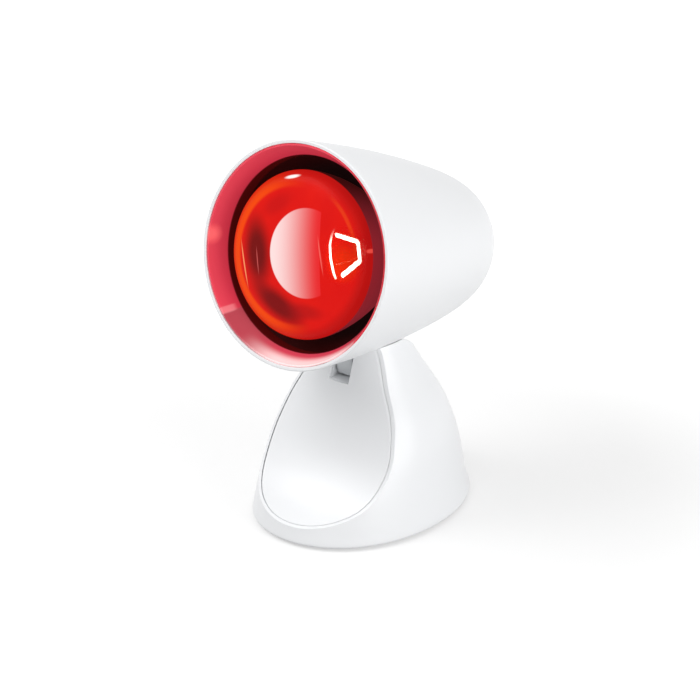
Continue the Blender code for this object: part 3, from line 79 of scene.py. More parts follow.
TINY = 1e-6
SHARP = math.radians(32)
FLAT = math.radians(0.5)
GAP = 0.0003
OVERRUN = 0.004
LATHE_STEPS = 144
LIP_STEPS = 4
EDGE_STEPS = 6
FACE_STEPS = 14
SHOULDER_STEPS = 12
BOWL_STEPS = 24
LAMP_AIM = Vector((0.0, -0.01, 0.1))


def length(text, value):
    return FloatProperty(name=text, default=value, unit="LENGTH", precision=5)


def colour(text, value):
    return FloatVectorProperty(name=text, default=value, subtype="COLOR", min=0.0, max=1.0)


class HeadSizes(bpy.types.PropertyGroup):
    mouth_radius: length("Outer radius of the head at its mouth", 0.0645)
    length: length("From the mouth to the end of the tail", 0.167)
    wall: length("Thickness of the moulded shell", 0.0021)
    lip: length("Rounding of the mouth's edge", 0.0007)
    forward: length("Middle of the mouth ahead of the foot's middle", 0.0644)
    height: length("Height of the mouth's middle", 0.1758)
    pitch: FloatProperty(
        name="Upward tilt of the head at its lowest", default=math.radians(13.8), unit="ROTATION"
    )
    bezel_depth: length("Depth of the glossy funnel", 0.0123)
    bezel_skirt: length("Straight part behind the funnel", 0.0085)
    bezel_radius: length("Inner radius of the funnel's small end", 0.0555)
    bezel_wall: length("Thickness of the funnel", 0.0015)
    shield_waist: length("Radius of the heat shield's narrow end", 0.0262)
    shield_depth: length("Depth of the heat shield's narrow end", 0.1)
    shield_wall: length("Thickness of the heat shield", 0.0008)
    vent_width: length("Width of each vent under the tail", 0.0024)
    vent_pitch: length("Distance between vents", 0.0066)
    vent_start: length("Distance of the vents from the mouth", 0.118)
    vent_length: length("Length of each vent", 0.024)
    vents: IntProperty(name="Number of vents under the tail", default=7, min=1)


class BulbSizes(bpy.types.PropertyGroup):
    radius: length("Radius at the widest ring", 0.0475)
    depth: length("Depth of the widest ring behind the mouth", 0.0098)
    shoulder: length("Rounding between the front and the widest ring", 0.008)
    dome: length("Radius of the slightly domed front", 0.2)
    wall: length("Thickness of the glass", 0.0009)
    neck_radius: length("Radius where the reflector meets the neck", 0.0185)
    neck_depth: length("Depth of the neck behind the mouth", 0.083)
    cap_radius: length("Radius of the screw cap", 0.0131)
    cap_depth: length("Depth where the screw cap starts", 0.1)
    end_depth: length("Depth where the glass ends in the cap", 0.104)
    filament_depth: length("Depth of the filament", 0.047)
    coil_radius: length("Radius of the filament's coil", 0.00092)
    wire_radius: length("Radius of the coiled wire", 0.00042)


class FootSizes(bpy.types.PropertyGroup):
    half_width: length("Half the width of the foot", 0.0589)
    half_depth: length("Half the depth of the foot", 0.0752)
    neck_half_width: length("Half the width of the neck", 0.0246)
    neck_half_depth: length("Half the depth of the neck", 0.0237)
    lean: length("How far the bell leans back", 0.0031)
    height: length("Height at which the shares end", 0.108)
    edge: length("Gap between the shell and the table", 0.0016)
    edge_round: length("Rounding of the lower edge", 0.0022)
    wall: length("Thickness of the moulded shell", 0.0024)
    panel_thick: length("Thickness of the front panel", 0.002)
    panel_low: length("Height of the lowest measured reach", 0.0087)
    panel_high: length("Height of the highest measured reach", 0.106)
    reach_low: length("Forward reach of the panel at the bottom", 0.0754)
    reach_high: length("Forward reach of the panel at the top", 0.0176)
    crown_low: length("Radius of the panel's crown at the bottom", 0.225)
    crown_mid: length("Radius of the panel's crown half way up", 0.106)
    crown_top: length("Radius of the panel's crown at the top", 0.045)
    rim: length("Width of the rim round the panel", 0.0013)
    parting: length("Width of the line round the panel", 0.0005)
    slot_width: length("Width of the slot between the cheeks", 0.0144)
    slot_floor: length("Height of the slot's floor", 0.0849)
    slot_back: length("Depth of the slot behind the foot's middle", 0.02)
    head_gap: length("Clearance between the head and the neck", 0.0012)
    pivot_back: length("Tilt axis behind the foot's middle", 0.006)
    pivot_height: length("Height of the tilt axis", 0.0965)
    inlet_height: length("Height of the cord's inlet", 0.0146)


class Colours(bpy.types.PropertyGroup):
    housing: colour("White of the moulded shell", (0.86, 0.87, 0.885))
    # Painted red light of the bulb on the white funnel
    bezel: colour("Red-lit funnel", (0.62, 0.055, 0.085))
    glass: colour("Red of the bulb's face", (0.62, 0.006, 0.007))
    rim_glow: colour("Orange light in the rim of the glass", (0.86, 0.065, 0.004))
    filament: colour("Glow of the filament", (1.0, 0.86, 0.68))


class LampSettings(bpy.types.PropertyGroup):
    head: PointerProperty(type=HeadSizes)
    bulb: PointerProperty(type=BulbSizes)
    foot: PointerProperty(type=FootSizes)
    colours: PointerProperty(type=Colours)


def settings():
    return bpy.context.scene.heat_lamp


# Places shared by the pieces


def head_radius(along):
    head = settings().head
    share = along / head.length
    cone = 1 - CONE_SHARE * share - BARREL_SHARE * share ** 2
    return head.mouth_radius * cone * math.sqrt(max(1 - share ** TAIL_POWER, 0))


def foot_middle():
    """Y of the foot's middle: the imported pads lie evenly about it."""
    low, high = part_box("foot_pad_1")[0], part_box("foot_pad_2")[1]
    return (low.y + high.y) / 2


def head_frame():
    head = settings().head
    place = Matrix.Translation((0.0, foot_middle() - head.forward, head.height))
    return place @ Matrix.Rotation(-(math.pi / 2 + head.pitch), 4, "X")


def smooth_value(places, values, place):
    """Value at a place between listed ones, on a cubic through them."""
    last = len(places) - 2
    index = 0
    while index < last and place > places[index + 1]:
        index += 1
    low, high = places[index], places[index + 1]
    run = high - low
    share = (place - low) / run

    def slope(at):
        first, second = max(at - 1, 0), min(at + 1, len(places) - 1)
        return (values[second] - values[first]) / (places[second] - places[first])

    start, end = slope(index) * run, slope(index + 1) * run
    square, cube = share ** 2, share ** 3
    return (
        (2 * cube - 3 * square + 1) * values[index]
        + (cube - 2 * square + share) * start
        + (3 * square - 2 * cube) * values[index + 1]
        + (cube - square) * end
    )


def foot_section(height):
    foot = settings().foot
    levels = [share * foot.height for share in FOOT_LEVEL_SHARES]
    width_share = smooth_value(levels, WIDTH_SHARES, height)
    depth_share = smooth_value(levels, DEPTH_SHARES, height)
    half_width = foot.neck_half_width + (foot.half_width - foot.neck_half_width) * width_share
    half_depth = foot.neck_half_depth + (foot.half_depth - foot.neck_half_depth) * depth_share
    return half_width, half_depth, foot.lean * smooth_value(levels, LEAN_SHARES, height)


def panel_front(across, height):
    foot = settings().foot
    share = (height - foot.panel_low) / (foot.panel_high - foot.panel_low)
    reach_share = smooth_value(PANEL_LEVEL_SHARES, PANEL_REACH_SHARES, share)
    reach = foot.reach_high + (foot.reach_low - foot.reach_high) * reach_share
    crowns = (1 / foot.crown_low, 1 / foot.crown_mid, 1 / foot.crown_top)
    bend = smooth_value((0.0, 0.5, 1.0), crowns, min(max(share, 0.0), 1.0))
    return across ** 2 * bend / 2 - reach


# Modelling helpers


def quarter_turn(steps):
    """Sine and cosine at even steps over a quarter turn, with both ends."""
    angles = [math.pi / 2 * step / steps for step in range(steps + 1)]
    return [(math.sin(angle), math.cos(angle)) for angle in angles]


def deselect():
    if bpy.context.mode != "OBJECT":
        bpy.ops.object.mode_set(mode="OBJECT")
    bpy.ops.object.select_all(action="DESELECT")


def pick(obj):
    deselect()
    obj.select_set(True)
    bpy.context.view_layer.objects.active = obj
    return obj


def rename(name):
    obj = bpy.context.object
    obj.name = obj.data.name = name
    return obj


def draw_line(name, points):
    """A chain of edges through the points, drawn by extruding one point."""
    deselect()
    bpy.ops.mesh.primitive_plane_add(size=0.001)
    obj = rename(name)
    bpy.ops.object.mode_set(mode="EDIT")
    bpy.ops.mesh.merge(type="CENTER")
    bpy.ops.transform.translate(value=points[0])
    for start, end in zip(points, points[1:]):
        step = Vector(end) - Vector(start)
        bpy.ops.mesh.extrude_region_move(TRANSFORM_OT_translate={"value": step})
    return obj


def face_out():
    bpy.ops.mesh.select_all(action="SELECT")
    bpy.ops.mesh.remove_doubles(threshold=TINY)
    bpy.ops.mesh.normals_make_consistent(inside=False)


def lathe(name, outline, steps=128, closed=False):
    """The outline, pairs of radius and height, spun round local Z."""
    points = [(radius, 0.0, height) for radius, height in outline]
    if closed:
        points.append(points[0])
    obj = draw_line(name, points)
    bpy.ops.mesh.select_all(action="SELECT")
    bpy.ops.mesh.spin(
        steps=steps, angle=2 * math.pi, center=(0, 0, 0), axis=(0, 0, 1), use_auto_merge=True
    )
    face_out()
    bpy.ops.object.mode_set(mode="OBJECT")
    return obj


def settle(obj, matrix):
    """Put the piece at the matrix and move its place into its mesh."""
    pick(obj)
    obj.matrix_world = matrix
    bpy.ops.object.transform_apply(location=True, rotation=True, scale=True)
    return obj


def foot_place():
    return Matrix.Translation((0.0, foot_middle(), 0.0))


def apply_modifier(obj, kind, **values):
    pick(obj)
    modifier = obj.modifiers.new("shape", kind)
    for key, value in values.items():
        setattr(modifier, key, value)
    bpy.ops.object.modifier_apply(modifier=modifier.name)


def carve(obj, cutter, operation="DIFFERENCE", solver="MANIFOLD"):
    apply_modifier(obj, "BOOLEAN", object=cutter, operation=operation, solver=solver)
    bpy.data.objects.remove(cutter, do_unlink=True)


def block(name, low, high):
    """A box cutter between two corners."""
    deselect()
    centre = [(a + b) / 2 for a, b in zip(low, high)]
    size = [b - a for a, b in zip(low, high)]
    bpy.ops.mesh.primitive_cube_add(size=1, location=centre, scale=size)
    obj = rename(name)
    bpy.ops.object.transform_apply(location=True, rotation=True, scale=True)
    return obj


def drum(radius, low, high, axis, sides, centre):
    """A round cutter along X or Y."""
    deselect()
    middle = (low + high) / 2
    place, turn = (centre[0], middle, centre[1]), (math.pi / 2, 0.0, 0.0)
    if axis == "X":
        place, turn = (middle, *centre), (0.0, math.pi / 2, 0.0)
    bpy.ops.mesh.primitive_cylinder_add(
        vertices=sides, radius=radius, depth=high - low, location=place, rotation=turn
    )
    bpy.ops.object.transform_apply(location=True, rotation=True, scale=True)
    return rename("drum_cutter")


def fit(obj, place, finish, slot, body, *nodes, angle=SHARP):
    """Settle and smooth a piece, give it its finish and body, and hide the imported nodes that it replaces. The
    slot is not used.
    """
    settle(obj, place)
    bpy.ops.object.shade_smooth_by_angle(angle=angle)
    if finish:
        obj.data.materials.clear()
        obj.data.materials.append(finish)
    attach(obj, body)
    if nodes:
        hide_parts(*nodes)


def copy_of(node, name, bevel):
    """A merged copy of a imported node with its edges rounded."""
    mesh = frame["nodes"][node].data.copy()
    mesh.materials.clear()
    obj = bpy.data.objects.new(name, mesh)
    bpy.context.scene.collection.objects.link(obj)
    pick(obj)
    bpy.ops.object.mode_set(mode="EDIT")
    bpy.ops.mesh.select_all(action="SELECT")
    bpy.ops.mesh.remove_doubles(threshold=TINY)
    bpy.ops.mesh.dissolve_limited(angle_limit=FLAT)
    bpy.ops.object.mode_set(mode="OBJECT")
    rounding = {"limit_method": "ANGLE", "angle_limit": SHARP}
    apply_modifier(obj, "BEVEL", width=bevel, segments=2, **rounding)
    return obj


# Node helpers


class Graph:
    """Adds and links nodes of one material or group."""

    def __init__(self, tree):
        self.tree = tree

    def node(self, kind, inputs=None, **values):
        made = self.tree.nodes.new(kind)
        for key, value in values.items():
            setattr(made, key, value)
        return self.fill(made, inputs or {})

    def fill(self, made, inputs):
        for key, value in inputs.items():
            self.feed(made.inputs[key], value)
        return made

    def feed(self, socket, value):
        if isinstance(value, bpy.types.NodeSocket):
            self.tree.links.new(value, socket)
        elif isinstance(value, bpy.types.Node):
            self.tree.links.new(value.outputs[0], socket)
        elif socket.type == "RGBA" and len(value) == 3:
            socket.default_value = (*value, 1.0)
        else:
            socket.default_value = value

    def math(self, operation, first, second=0.0, third=0.0, clamp=False):
        made = self.node("ShaderNodeMath", operation=operation, use_clamp=clamp)
        for index, value in enumerate((first, second, third)):
            self.feed(made.inputs[index], value)
        return made.outputs[0]

    def times(self, first, second):
        return self.math("MULTIPLY", first, second)

    def line(self, value, slope, base):
        return self.math("MULTIPLY_ADD", value, slope, base)

    def inverse(self, value):
        return self.math("SUBTRACT", 1.0, value)

    def mix(self, share, first, second):
        made = self.node("ShaderNodeMix", {0: share}, data_type="RGBA")
        return self.fill(made, {6: first, 7: second}).outputs[2]

    def ramp(self, value, low, high):
        """0 below low, 1 above high, with a soft step between them."""
        made = self.node("ShaderNodeMapRange", interpolation_type="SMOOTHSTEP", clamp=True)
        return self.fill(made, {"Value": value, "From Min": low, "From Max": high}).outputs[0]

    def noise(self, vector, scale, detail=2.0):
        inputs = {"Vector": vector, "Scale": scale, "Detail": detail}
        return self.node("ShaderNodeTexNoise", inputs).outputs["Fac"]

    def scaled(self, colours, by):
        inputs = {0: colours, "Scale": by}
        return self.node("ShaderNodeVectorMath", inputs, operation="SCALE").outputs[0]

    def use(self, group, inputs):
        return self.fill(self.node("ShaderNodeGroup", node_tree=group), inputs).outputs

    def shine(self, shader, colours, strength):
        """Colour the surface and let it glow in the same colour."""
        glow = {"Base Color": colours, "Emission Color": colours, "Emission Strength": strength}
        self.fill(shader, glow)

    def grain(self, shader, height, strength, distance=0.0001):
        inputs = {"Strength": strength, "Distance": distance, "Height": height}
        self.feed(shader.inputs["Normal"], self.node("ShaderNodeBump", inputs))


def shared_group(name, inputs, outputs, build):
    """The node group of that name, built on first use. Numbers are values, tuples are colours."""
    found = bpy.data.node_groups.get(name)
    if found:
        return found
    tree = bpy.data.node_groups.new(name, "ShaderNodeTree")
    kinds = {type(None): "Vector", tuple: "Color", float: "Float"}
    for label, value in inputs.items():
        kind = "NodeSocket" + kinds[type(value)]
        socket = tree.interface.new_socket(label, in_out="INPUT", socket_type=kind)
        if value is not None:
            socket.default_value = value
    for label in outputs:
        kind = "NodeSocketColor" if label == "Colour" else "NodeSocketFloat"
        tree.interface.new_socket(label, in_out="OUTPUT", socket_type=kind)
    graph = Graph(tree)
    given, result = graph.node("NodeGroupInput"), graph.node("NodeGroupOutput")
    graph.fill(result, build(graph, given.outputs))
    return tree


MOULDED = {
    "Vector": None,
    "Colour": (0.8, 0.8, 0.8, 1.0),
    "Mottle": 0.02,
    "Mottle Scale": 60.0,
    "Roughness": 0.4,
    "Roughness Spread": 0.05,
    "Grain Scale": 2500.0,
}
SPOT = {
    "Right": 0.0,
    "Up": 0.0,
    "Centre Right": 0.0,
    "Centre Up": 0.0,
    "Half Width": 0.01,
    "Half Height": 0.01,
    "Turn": 0.0,
    "Softness": 0.2,
}


def moulded_surface():
    """Group: mottled colour, uneven gloss and fine grain of a moulded or rolled surface."""

    def build(graph, given):
        cloud = graph.noise(given["Vector"], given["Mottle Scale"], 4.0)
        swing = graph.line(cloud, 2.0, -1.0)
        shade = graph.line(swing, given["Mottle"], 1.0)
        tinted = graph.scaled(given["Colour"], shade)
        uneven = graph.times(swing, given["Roughness Spread"])
        rough = graph.math("ADD", given["Roughness"], uneven, clamp=True)
        grain = graph.noise(given["Vector"], given["Grain Scale"], 3.0)
        return {"Colour": tinted, "Roughness": rough, "Height": grain}

    return shared_group("moulded_surface", MOULDED, ("Colour", "Roughness", "Height"), build)


def head_polar():
    """Group: place on the head as radius, angle and depth, from head coordinates."""

    def build(graph, given):
        parts = graph.node("ShaderNodeSeparateXYZ", {"Vector": given["Vector"]}).outputs
        up = graph.times(parts["Y"], -1.0)
        square = graph.times(parts["X"], parts["X"])
        total = graph.line(up, up, square)
        return {
            "Right": parts["X"],
            "Up": up,
            "Depth": parts["Z"],
            "Radius": graph.math("SQRT", total),
            "Angle": graph.math("ARCTAN2", up, parts["X"]),
        }

    outputs = ("Right", "Up", "Depth", "Radius", "Angle")
    return shared_group("head_polar", {"Vector": None}, outputs, build)


def soft_spot():
    """Group: an elliptical spot with a soft edge, 1 inside and 0 outside."""

    def build(graph, given):
        right = graph.math("SUBTRACT", given["Right"], given["Centre Right"])
        up = graph.math("SUBTRACT", given["Up"], given["Centre Up"])
        cosine = graph.math("COSINE", given["Turn"])
        sine = graph.math("SINE", given["Turn"])
        along = graph.line(right, cosine, graph.times(up, sine))
        across = graph.math("SUBTRACT", graph.times(up, cosine), graph.times(right, sine))
        first = graph.math("DIVIDE", along, given["Half Width"])
        second = graph.math("DIVIDE", across, given["Half Height"])
        square = graph.times(second, second)
        reach = graph.math("SQRT", graph.line(first, first, square))
        low = graph.inverse(given["Softness"])
        return {"Mask": graph.inverse(graph.ramp(reach, low, 1.0))}

    return shared_group("soft_spot", SPOT, ("Mask",), build)


def new_material(name):
    """A material with its graph, shader and Object coordinates."""
    made = bpy.data.materials.new(name)
    made.use_nodes = True
    graph = Graph(made.node_tree)
    shader = made.node_tree.nodes["Principled BSDF"]
    place = graph.node("ShaderNodeTexCoord").outputs["Object"]
    return made, graph, shader, place


def surface_finish(
    name, base, roughness, metallic, mottle, mottle_scale, spread, grain, depth, coat=0.0
):
    """A moulded, cast, glazed or rolled surface."""
    found = bpy.data.materials.get(name)
    if found:
        return found
    made, graph, shader, place = new_material(name)
    values = (place, base, mottle, mottle_scale, roughness, spread, grain)
    surface = graph.use(moulded_surface(), dict(zip(MOULDED, values)))
    look = {"Base Color": surface["Colour"], "Roughness": surface["Roughness"]}
    graph.fill(shader, {**look, "Metallic": metallic, "Coat Weight": coat, "Coat Roughness": 0.1})
    graph.grain(shader, surface["Height"], depth)
    return made


def white_moulding():
    base = tuple(settings().colours.housing)
    return surface_finish("white_moulding", base, 0.33, 0.0, 0.008, 25.0, 0.04, 1800.0, 0.06)


def head_coordinates(graph, place):
    """Object coordinates turned into the head's own."""
    matrix = head_frame()
    values = {"Location": matrix.to_translation(), "Rotation": matrix.to_euler(), "Vector": place}
    turned = graph.node("ShaderNodeMapping", values, vector_type="TEXTURE")
    return graph.use(head_polar(), {"Vector": turned})


def spot(graph, polar, centre, size, turn=0.0, softness=0.2):
    values = (polar["Right"], polar["Up"], *centre, *size, turn, softness)
    return graph.use(soft_spot(), dict(zip(SPOT, values)))["Mask"]


def angle_band(graph, polar, start, end, soft=0.06):
    """1 between two angles in degrees, anticlockwise from the right, with soft ends."""
    middle = math.radians((start + end) / 2)
    half = math.radians((end - start) / 2)
    turned = graph.math("SUBTRACT", polar["Angle"], middle)
    wrapped = graph.math("WRAP", turned, math.pi, -math.pi)
    away = graph.math("ABSOLUTE", wrapped)
    return graph.inverse(graph.ramp(away, half - soft, half + soft))


def red_lit_bezel():
    """Glossy white funnel with the bulb's red light painted on and made to glow, a painted highlight, painted
    white light along its bottom and painted shade on its right and in its skirt.
    """
    made, graph, shader, place = new_material("red_lit_bezel")
    polar = head_coordinates(graph, place)
    head = settings().head
    radius = polar["Radius"]
    outward = graph.ramp(radius, head.bezel_radius, head.mouth_radius - head.wall)
    lower = angle_band(graph, polar, 225, 322, 0.015)
    side = angle_band(graph, polar, -38, 68, 0.35)
    # Painted red light of the bulb on the white funnel, darker towards its small end
    base = tuple(settings().colours.bezel)
    colours = graph.mix(outward, (0.55, 0.035, 0.065), base)
    # Painted highlight near the lip on the left of the funnel
    painted_highlight = spot(graph, polar, (-0.0605, -0.001), (0.0035, 0.0075), 0.0, 0.9)
    colours = graph.mix(painted_highlight, colours, (0.86, 0.13, 0.14))
    # Painted white light along the bottom of the funnel, whitest near the lip and dark red at its lower left end
    across = graph.line(polar["Right"], -0.00028 / 0.06, radius)
    pale = graph.ramp(across, 0.0568, 0.0602)
    lit = graph.mix(pale, (0.5, 0.045, 0.075), (0.78, 0.55, 0.55))
    fade = angle_band(graph, polar, 254, 322, 0.25)
    lit = graph.mix(fade, (0.38, 0.055, 0.075), lit)
    colours = graph.mix(lower, colours, lit)
    # Painted highlight along a short line near the lip at the lower left
    edge = angle_band(graph, polar, 221.5, 225.5, 0.012)
    edge = graph.times(edge, graph.ramp(radius, 0.0565, 0.0585))
    colours = graph.mix(graph.times(edge, 0.4), colours, (0.8, 0.34, 0.36))
    # Painted shade on the right side of the funnel, darkest towards its small end
    shade = graph.mix(outward, (0.09, 0.004, 0.005), (0.52, 0.028, 0.042))
    colours = graph.mix(side, colours, shade)
    # Painted shade in the skirt behind the funnel, with painted red light on its right
    skirt = graph.ramp(polar["Depth"], head.bezel_depth - 0.001, head.bezel_depth)
    right = angle_band(graph, polar, -40, 28, 0.4)
    deep = graph.mix(right, (0.07, 0.003, 0.003), (0.4, 0.022, 0.035))
    colours = graph.mix(skirt, colours, deep)
    # The funnel glows with its painted light and shade
    graph.shine(shader, colours, 0.53)
    cloud = graph.noise(place, 300.0, 3.0)
    graph.feed(shader.inputs["Roughness"], graph.line(cloud, 0.06, 0.12))
    graph.grain(shader, cloud, 0.03)
    shader.inputs["Specular IOR Level"].default_value = 0.15
    return made


def shield_coat():
    """Dark sheet of the heat shield in painted shade, with the bulb's red light painted on its right near the
    front, and made to glow.
    """
    made, graph, shader, place = new_material("shield_coat")
    polar = head_coordinates(graph, place)
    # Painted red light of the bulb on the right near the front, painted shade deeper in
    near = graph.ramp(polar["Depth"], 0.02, 0.05)
    right = angle_band(graph, polar, -60, 60, 0.5)
    lit = graph.mix(right, (0.03, 0.002, 0.002), (0.11, 0.007, 0.008))
    colours = graph.mix(near, lit, (0.01, 0.004, 0.004))
    graph.shine(shader, colours, 0.35)
    grit = graph.noise(place, 900.0, 3.0)
    graph.feed(shader.inputs["Roughness"], graph.line(grit, 0.2, 0.42))
    graph.grain(shader, grit, 0.2)
    return made


def red_face_glass():
    """Red glass of the bulb's front, glowing with the light from within, with painted reflections, highlights and
    shade.
    """
    made, graph, shader, place = new_material("red_face_glass")
    polar = head_coordinates(graph, place)
    colours = settings().colours
    bulb = settings().bulb
    radius = polar["Radius"]
    right, up = polar["Right"], polar["Up"]
    cloud = graph.noise(place, 45.0, 2.0)
    glow = graph.mix(cloud, tuple(colours.glass), (0.78, 0.012, 0.006))
    # Painted shade in dark patches over the face, and a painted bright red patch on its right
    for centre, size, turn, share, tint in (
        ((-0.0245, -0.003), (0.0135, 0.0265), 0.28, 0.92, (0.13, 0.006, 0.006)),
        ((-0.006, -0.029), (0.026, 0.0105), -0.36, 0.9, (0.15, 0.005, 0.006)),
        ((0.012, -0.029), (0.017, 0.0065), 0.1, 0.5, (0.3, 0.006, 0.008)),
        ((-0.016, 0.026), (0.016, 0.0075), 0.6, 0.35, (0.4, 0.006, 0.008)),
        ((0.034, 0.004), (0.0115, 0.013), 0.0, 0.7, (0.8, 0.05, 0.004)),
    ):
        shade = spot(graph, polar, centre, size, turn, 0.75)
        glow = graph.mix(graph.times(shade, share), glow, tint)
    # Painted orange light in the rim of the glass, on its left side
    ring = graph.ramp(radius, 0.0372, 0.0398)
    left = angle_band(graph, polar, 112, 272, 0.5)
    fire = graph.mix(graph.ramp(radius, 0.04, 0.0465), tuple(colours.rim_glow), (0.6, 0.02, 0.004))
    glow = graph.mix(graph.times(ring, left), glow, fire)
    # Painted light in a thin bright ring at the upper right
    far_ring = graph.times(graph.ramp(radius, 0.0395, 0.0407), 0.6)
    far_ring = graph.times(far_ring, angle_band(graph, polar, 8, 58, 0.2))
    thin = graph.inverse(graph.ramp(radius, 0.0415, 0.0427))
    glow = graph.mix(graph.times(far_ring, thin), glow, (0.8, 0.06, 0.01))
    # Painted shade over the outer part of the face, away from its left side
    edge = graph.ramp(radius, 0.0405, bulb.radius)
    shaded = graph.times(edge, graph.inverse(left))
    glow = graph.mix(graph.times(shaded, 0.45), glow, (0.24, 0.006, 0.007))
    # Painted reflection of a soft light: a paler half disc, fading to red towards its straight right edge
    reflection_disc = spot(graph, polar, (0.009, 0.0034), (0.0245, 0.0254), 0.0, 0.03)
    cut = graph.line(up, 0.18, right)
    reflection_disc = graph.times(reflection_disc, graph.math("LESS_THAN", cut, 0.0196))
    fade = graph.ramp(cut, -0.0155, 0.0195)
    sheen = graph.mix(fade, (0.95, 0.74, 0.73), (0.78, 0.025, 0.028))
    glow = graph.mix(graph.times(reflection_disc, 0.97), glow, sheen)
    # Painted reflections in thin lines and small painted highlights, the one at the top white
    for centre, size, turn, tint in (
        ((-0.0234, -0.008), (0.0005, 0.0095), 0.28, (0.55, 0.09, 0.085)),
        ((0.0192, 0.0045), (0.0006, 0.0132), 0.34, (0.86, 0.12, 0.1)),
        ((-0.0336, -0.012), (0.0007, 0.0165), 0.36, (0.9, 0.3, 0.12)),
        ((-0.0104, 0.0425), (0.0064, 0.0013), 0.33, (1.0, 0.9, 0.88)),
        ((0.0457, 0.0125), (0.0016, 0.0016), 0.0, (0.85, 0.08, 0.06)),
    ):
        glint = spot(graph, polar, centre, size, turn, 0.6)
        glow = graph.mix(glint, glow, tint)
    # The face glows with its painted reflections and shade as well
    graph.shine(shader, glow, 0.84)
    window = spot(graph, polar, (0.033, 0.0075), (0.0145, 0.0185), 0.0, 0.45)
    ripple = graph.noise(place, 30.0)
    look = {"Base Color": graph.scaled(glow, 0.25), "Specular IOR Level": 0.03}
    look["Alpha"] = graph.line(window, -0.7, 1.0)
    look["Roughness"] = graph.line(ripple, 0.06, 0.2)
    graph.fill(shader, look)
    graph.grain(shader, ripple, 0.05, 0.001)
    return made


def bowl_glow():
    """Mirrored inside of the bulb's reflector, with the red light behind the glass painted on and made to glow,
    and painted shade deeper in.
    """
    made, graph, shader, place = new_material("bowl_glow")
    polar = head_coordinates(graph, place)
    cloud = graph.noise(place, 60.0, 2.0)
    # Painted red light on the mirrored inside, with painted shade deeper in
    glow = graph.mix(cloud, (0.75, 0.03, 0.006), (0.95, 0.09, 0.01))
    deep = graph.ramp(polar["Depth"], 0.05, 0.08)
    glow = graph.mix(deep, glow, (0.4, 0.008, 0.004))
    graph.shine(shader, glow, 0.8)
    shader.inputs["Metallic"].default_value = 0.6
    graph.feed(shader.inputs["Roughness"], graph.line(cloud, 0.1, 0.2))
    return made


def bowl_mirror():
    """Silvered back of the bulb, with a painted reflection of the lit bezel on its right and painted shade
    elsewhere, made to glow.
    """
    made, graph, shader, place = new_material("bowl_mirror")
    polar = head_coordinates(graph, place)
    cloud = graph.noise(place, 80.0, 2.0)
    # Painted reflection of the lit bezel on the right, painted shade elsewhere
    right = angle_band(graph, polar, -60, 45, 0.5)
    glow = graph.mix(right, (0.06, 0.005, 0.005), (0.32, 0.025, 0.038))
    graph.shine(shader, glow, 0.6)
    shader.inputs["Metallic"].default_value = 0.7
    graph.feed(shader.inputs["Roughness"], graph.line(cloud, 0.1, 0.25))
    return made


def glowing_wire():
    made, graph, shader, place = new_material("glowing_wire")
    cloud = graph.noise(place, 400.0, 2.0)
    glow = graph.mix(cloud, tuple(settings().colours.filament), (1.0, 0.92, 0.8))
    graph.shine(shader, glow, 6.5)
    return made


# Slot: material, colour, roughness, metallic, mottle, its scale, spread, grain, depth, coat
METAL = (1.0, 0.06, 120.0, 0.08, 1400.0, 0.06)
FINISHES = {
    "shield_sheet": ("shield_sheet", (0.05, 0.045, 0.045), 0.5, 0.4, 0.15, 90.0, 0.1, 900.0, 0.2),
    "red_glass": ("red_glass", (0.5, 0.01, 0.012), 0.08, 0.0, 0.04, 40.0, 0.03, 200.0, 0.02, 0.6),
    "stem_glass": (
        "stem_glass", (0.75, 0.78, 0.76), 0.07, 0.0, 0.02, 50.0, 0.03, 200.0, 0.02, 0.6
    ),
    "black_glass": (
        "black_glass", (0.03, 0.03, 0.035), 0.12, 0.0, 0.1, 90.0, 0.05, 500.0, 0.04, 0.5
    ),
    "brass": ("rolled_brass", (0.72, 0.55, 0.28), 0.28, *METAL),
    "tin": ("tinned_metal", (0.66, 0.66, 0.64), 0.38, *METAL),
    "porcelain": (
        "glazed_porcelain", (0.82, 0.8, 0.75), 0.22, 0.0, 0.03, 40.0, 0.05, 300.0, 0.03, 0.7
    ),
    "steel": ("zinc_plate", (0.6, 0.6, 0.62), 0.33, *METAL),
    "spring_steel": ("spring_steel", (0.42, 0.43, 0.46), 0.28, *METAL),
    "ballast_iron": ("cast_iron", (0.12, 0.12, 0.13), 0.62, 0.8, 0.2, 150.0, 0.1, 700.0, 0.5),
    "arm_nylon": ("arm_nylon", (0.74, 0.755, 0.775), 0.42, 0.0, 0.02, 50.0, 0.05, 1500.0, 0.08),
    "grey_plastic": ("plate_plastic", (0.55, 0.57, 0.6), 0.5, 0.0, 0.03, 70.0, 0.06, 900.0, 0.25),
    "pad_rubber": ("pad_rubber", (0.07, 0.07, 0.075), 0.78, 0.0, 0.08, 120.0, 0.06, 1100.0, 0.3),
    "block_plastic": (
        "block_plastic", (0.78, 0.76, 0.7), 0.48, 0.0, 0.03, 60.0, 0.05, 1300.0, 0.1
    ),
}


def slot_finish(slot):
    """The finish of a material slot of the record."""
    if slot in FINISHES:
        return surface_finish(*FINISHES[slot])
    if slot == "filament_wire":
        return bpy.data.materials.get("glowing_wire") or glowing_wire()
    return white_moulding()


# Head pieces


def head_outline(outset=0.0, rows=56):
    """Outer outline from the mouth's rounded lip to the tail."""
    head = settings().head
    points = []
    for sine, cosine in quarter_turn(LIP_STEPS):
        radius = head.mouth_radius - head.lip * (1 - sine) + outset
        points.append((radius, head.lip * (1 - cosine) - outset))
    for row in range(1, rows):
        share = math.sin(math.pi / 2 * row / rows)
        points.append((head_radius(share * head.length) + outset, share * head.length))
    points.append((0.0, head.length + outset))
    return points


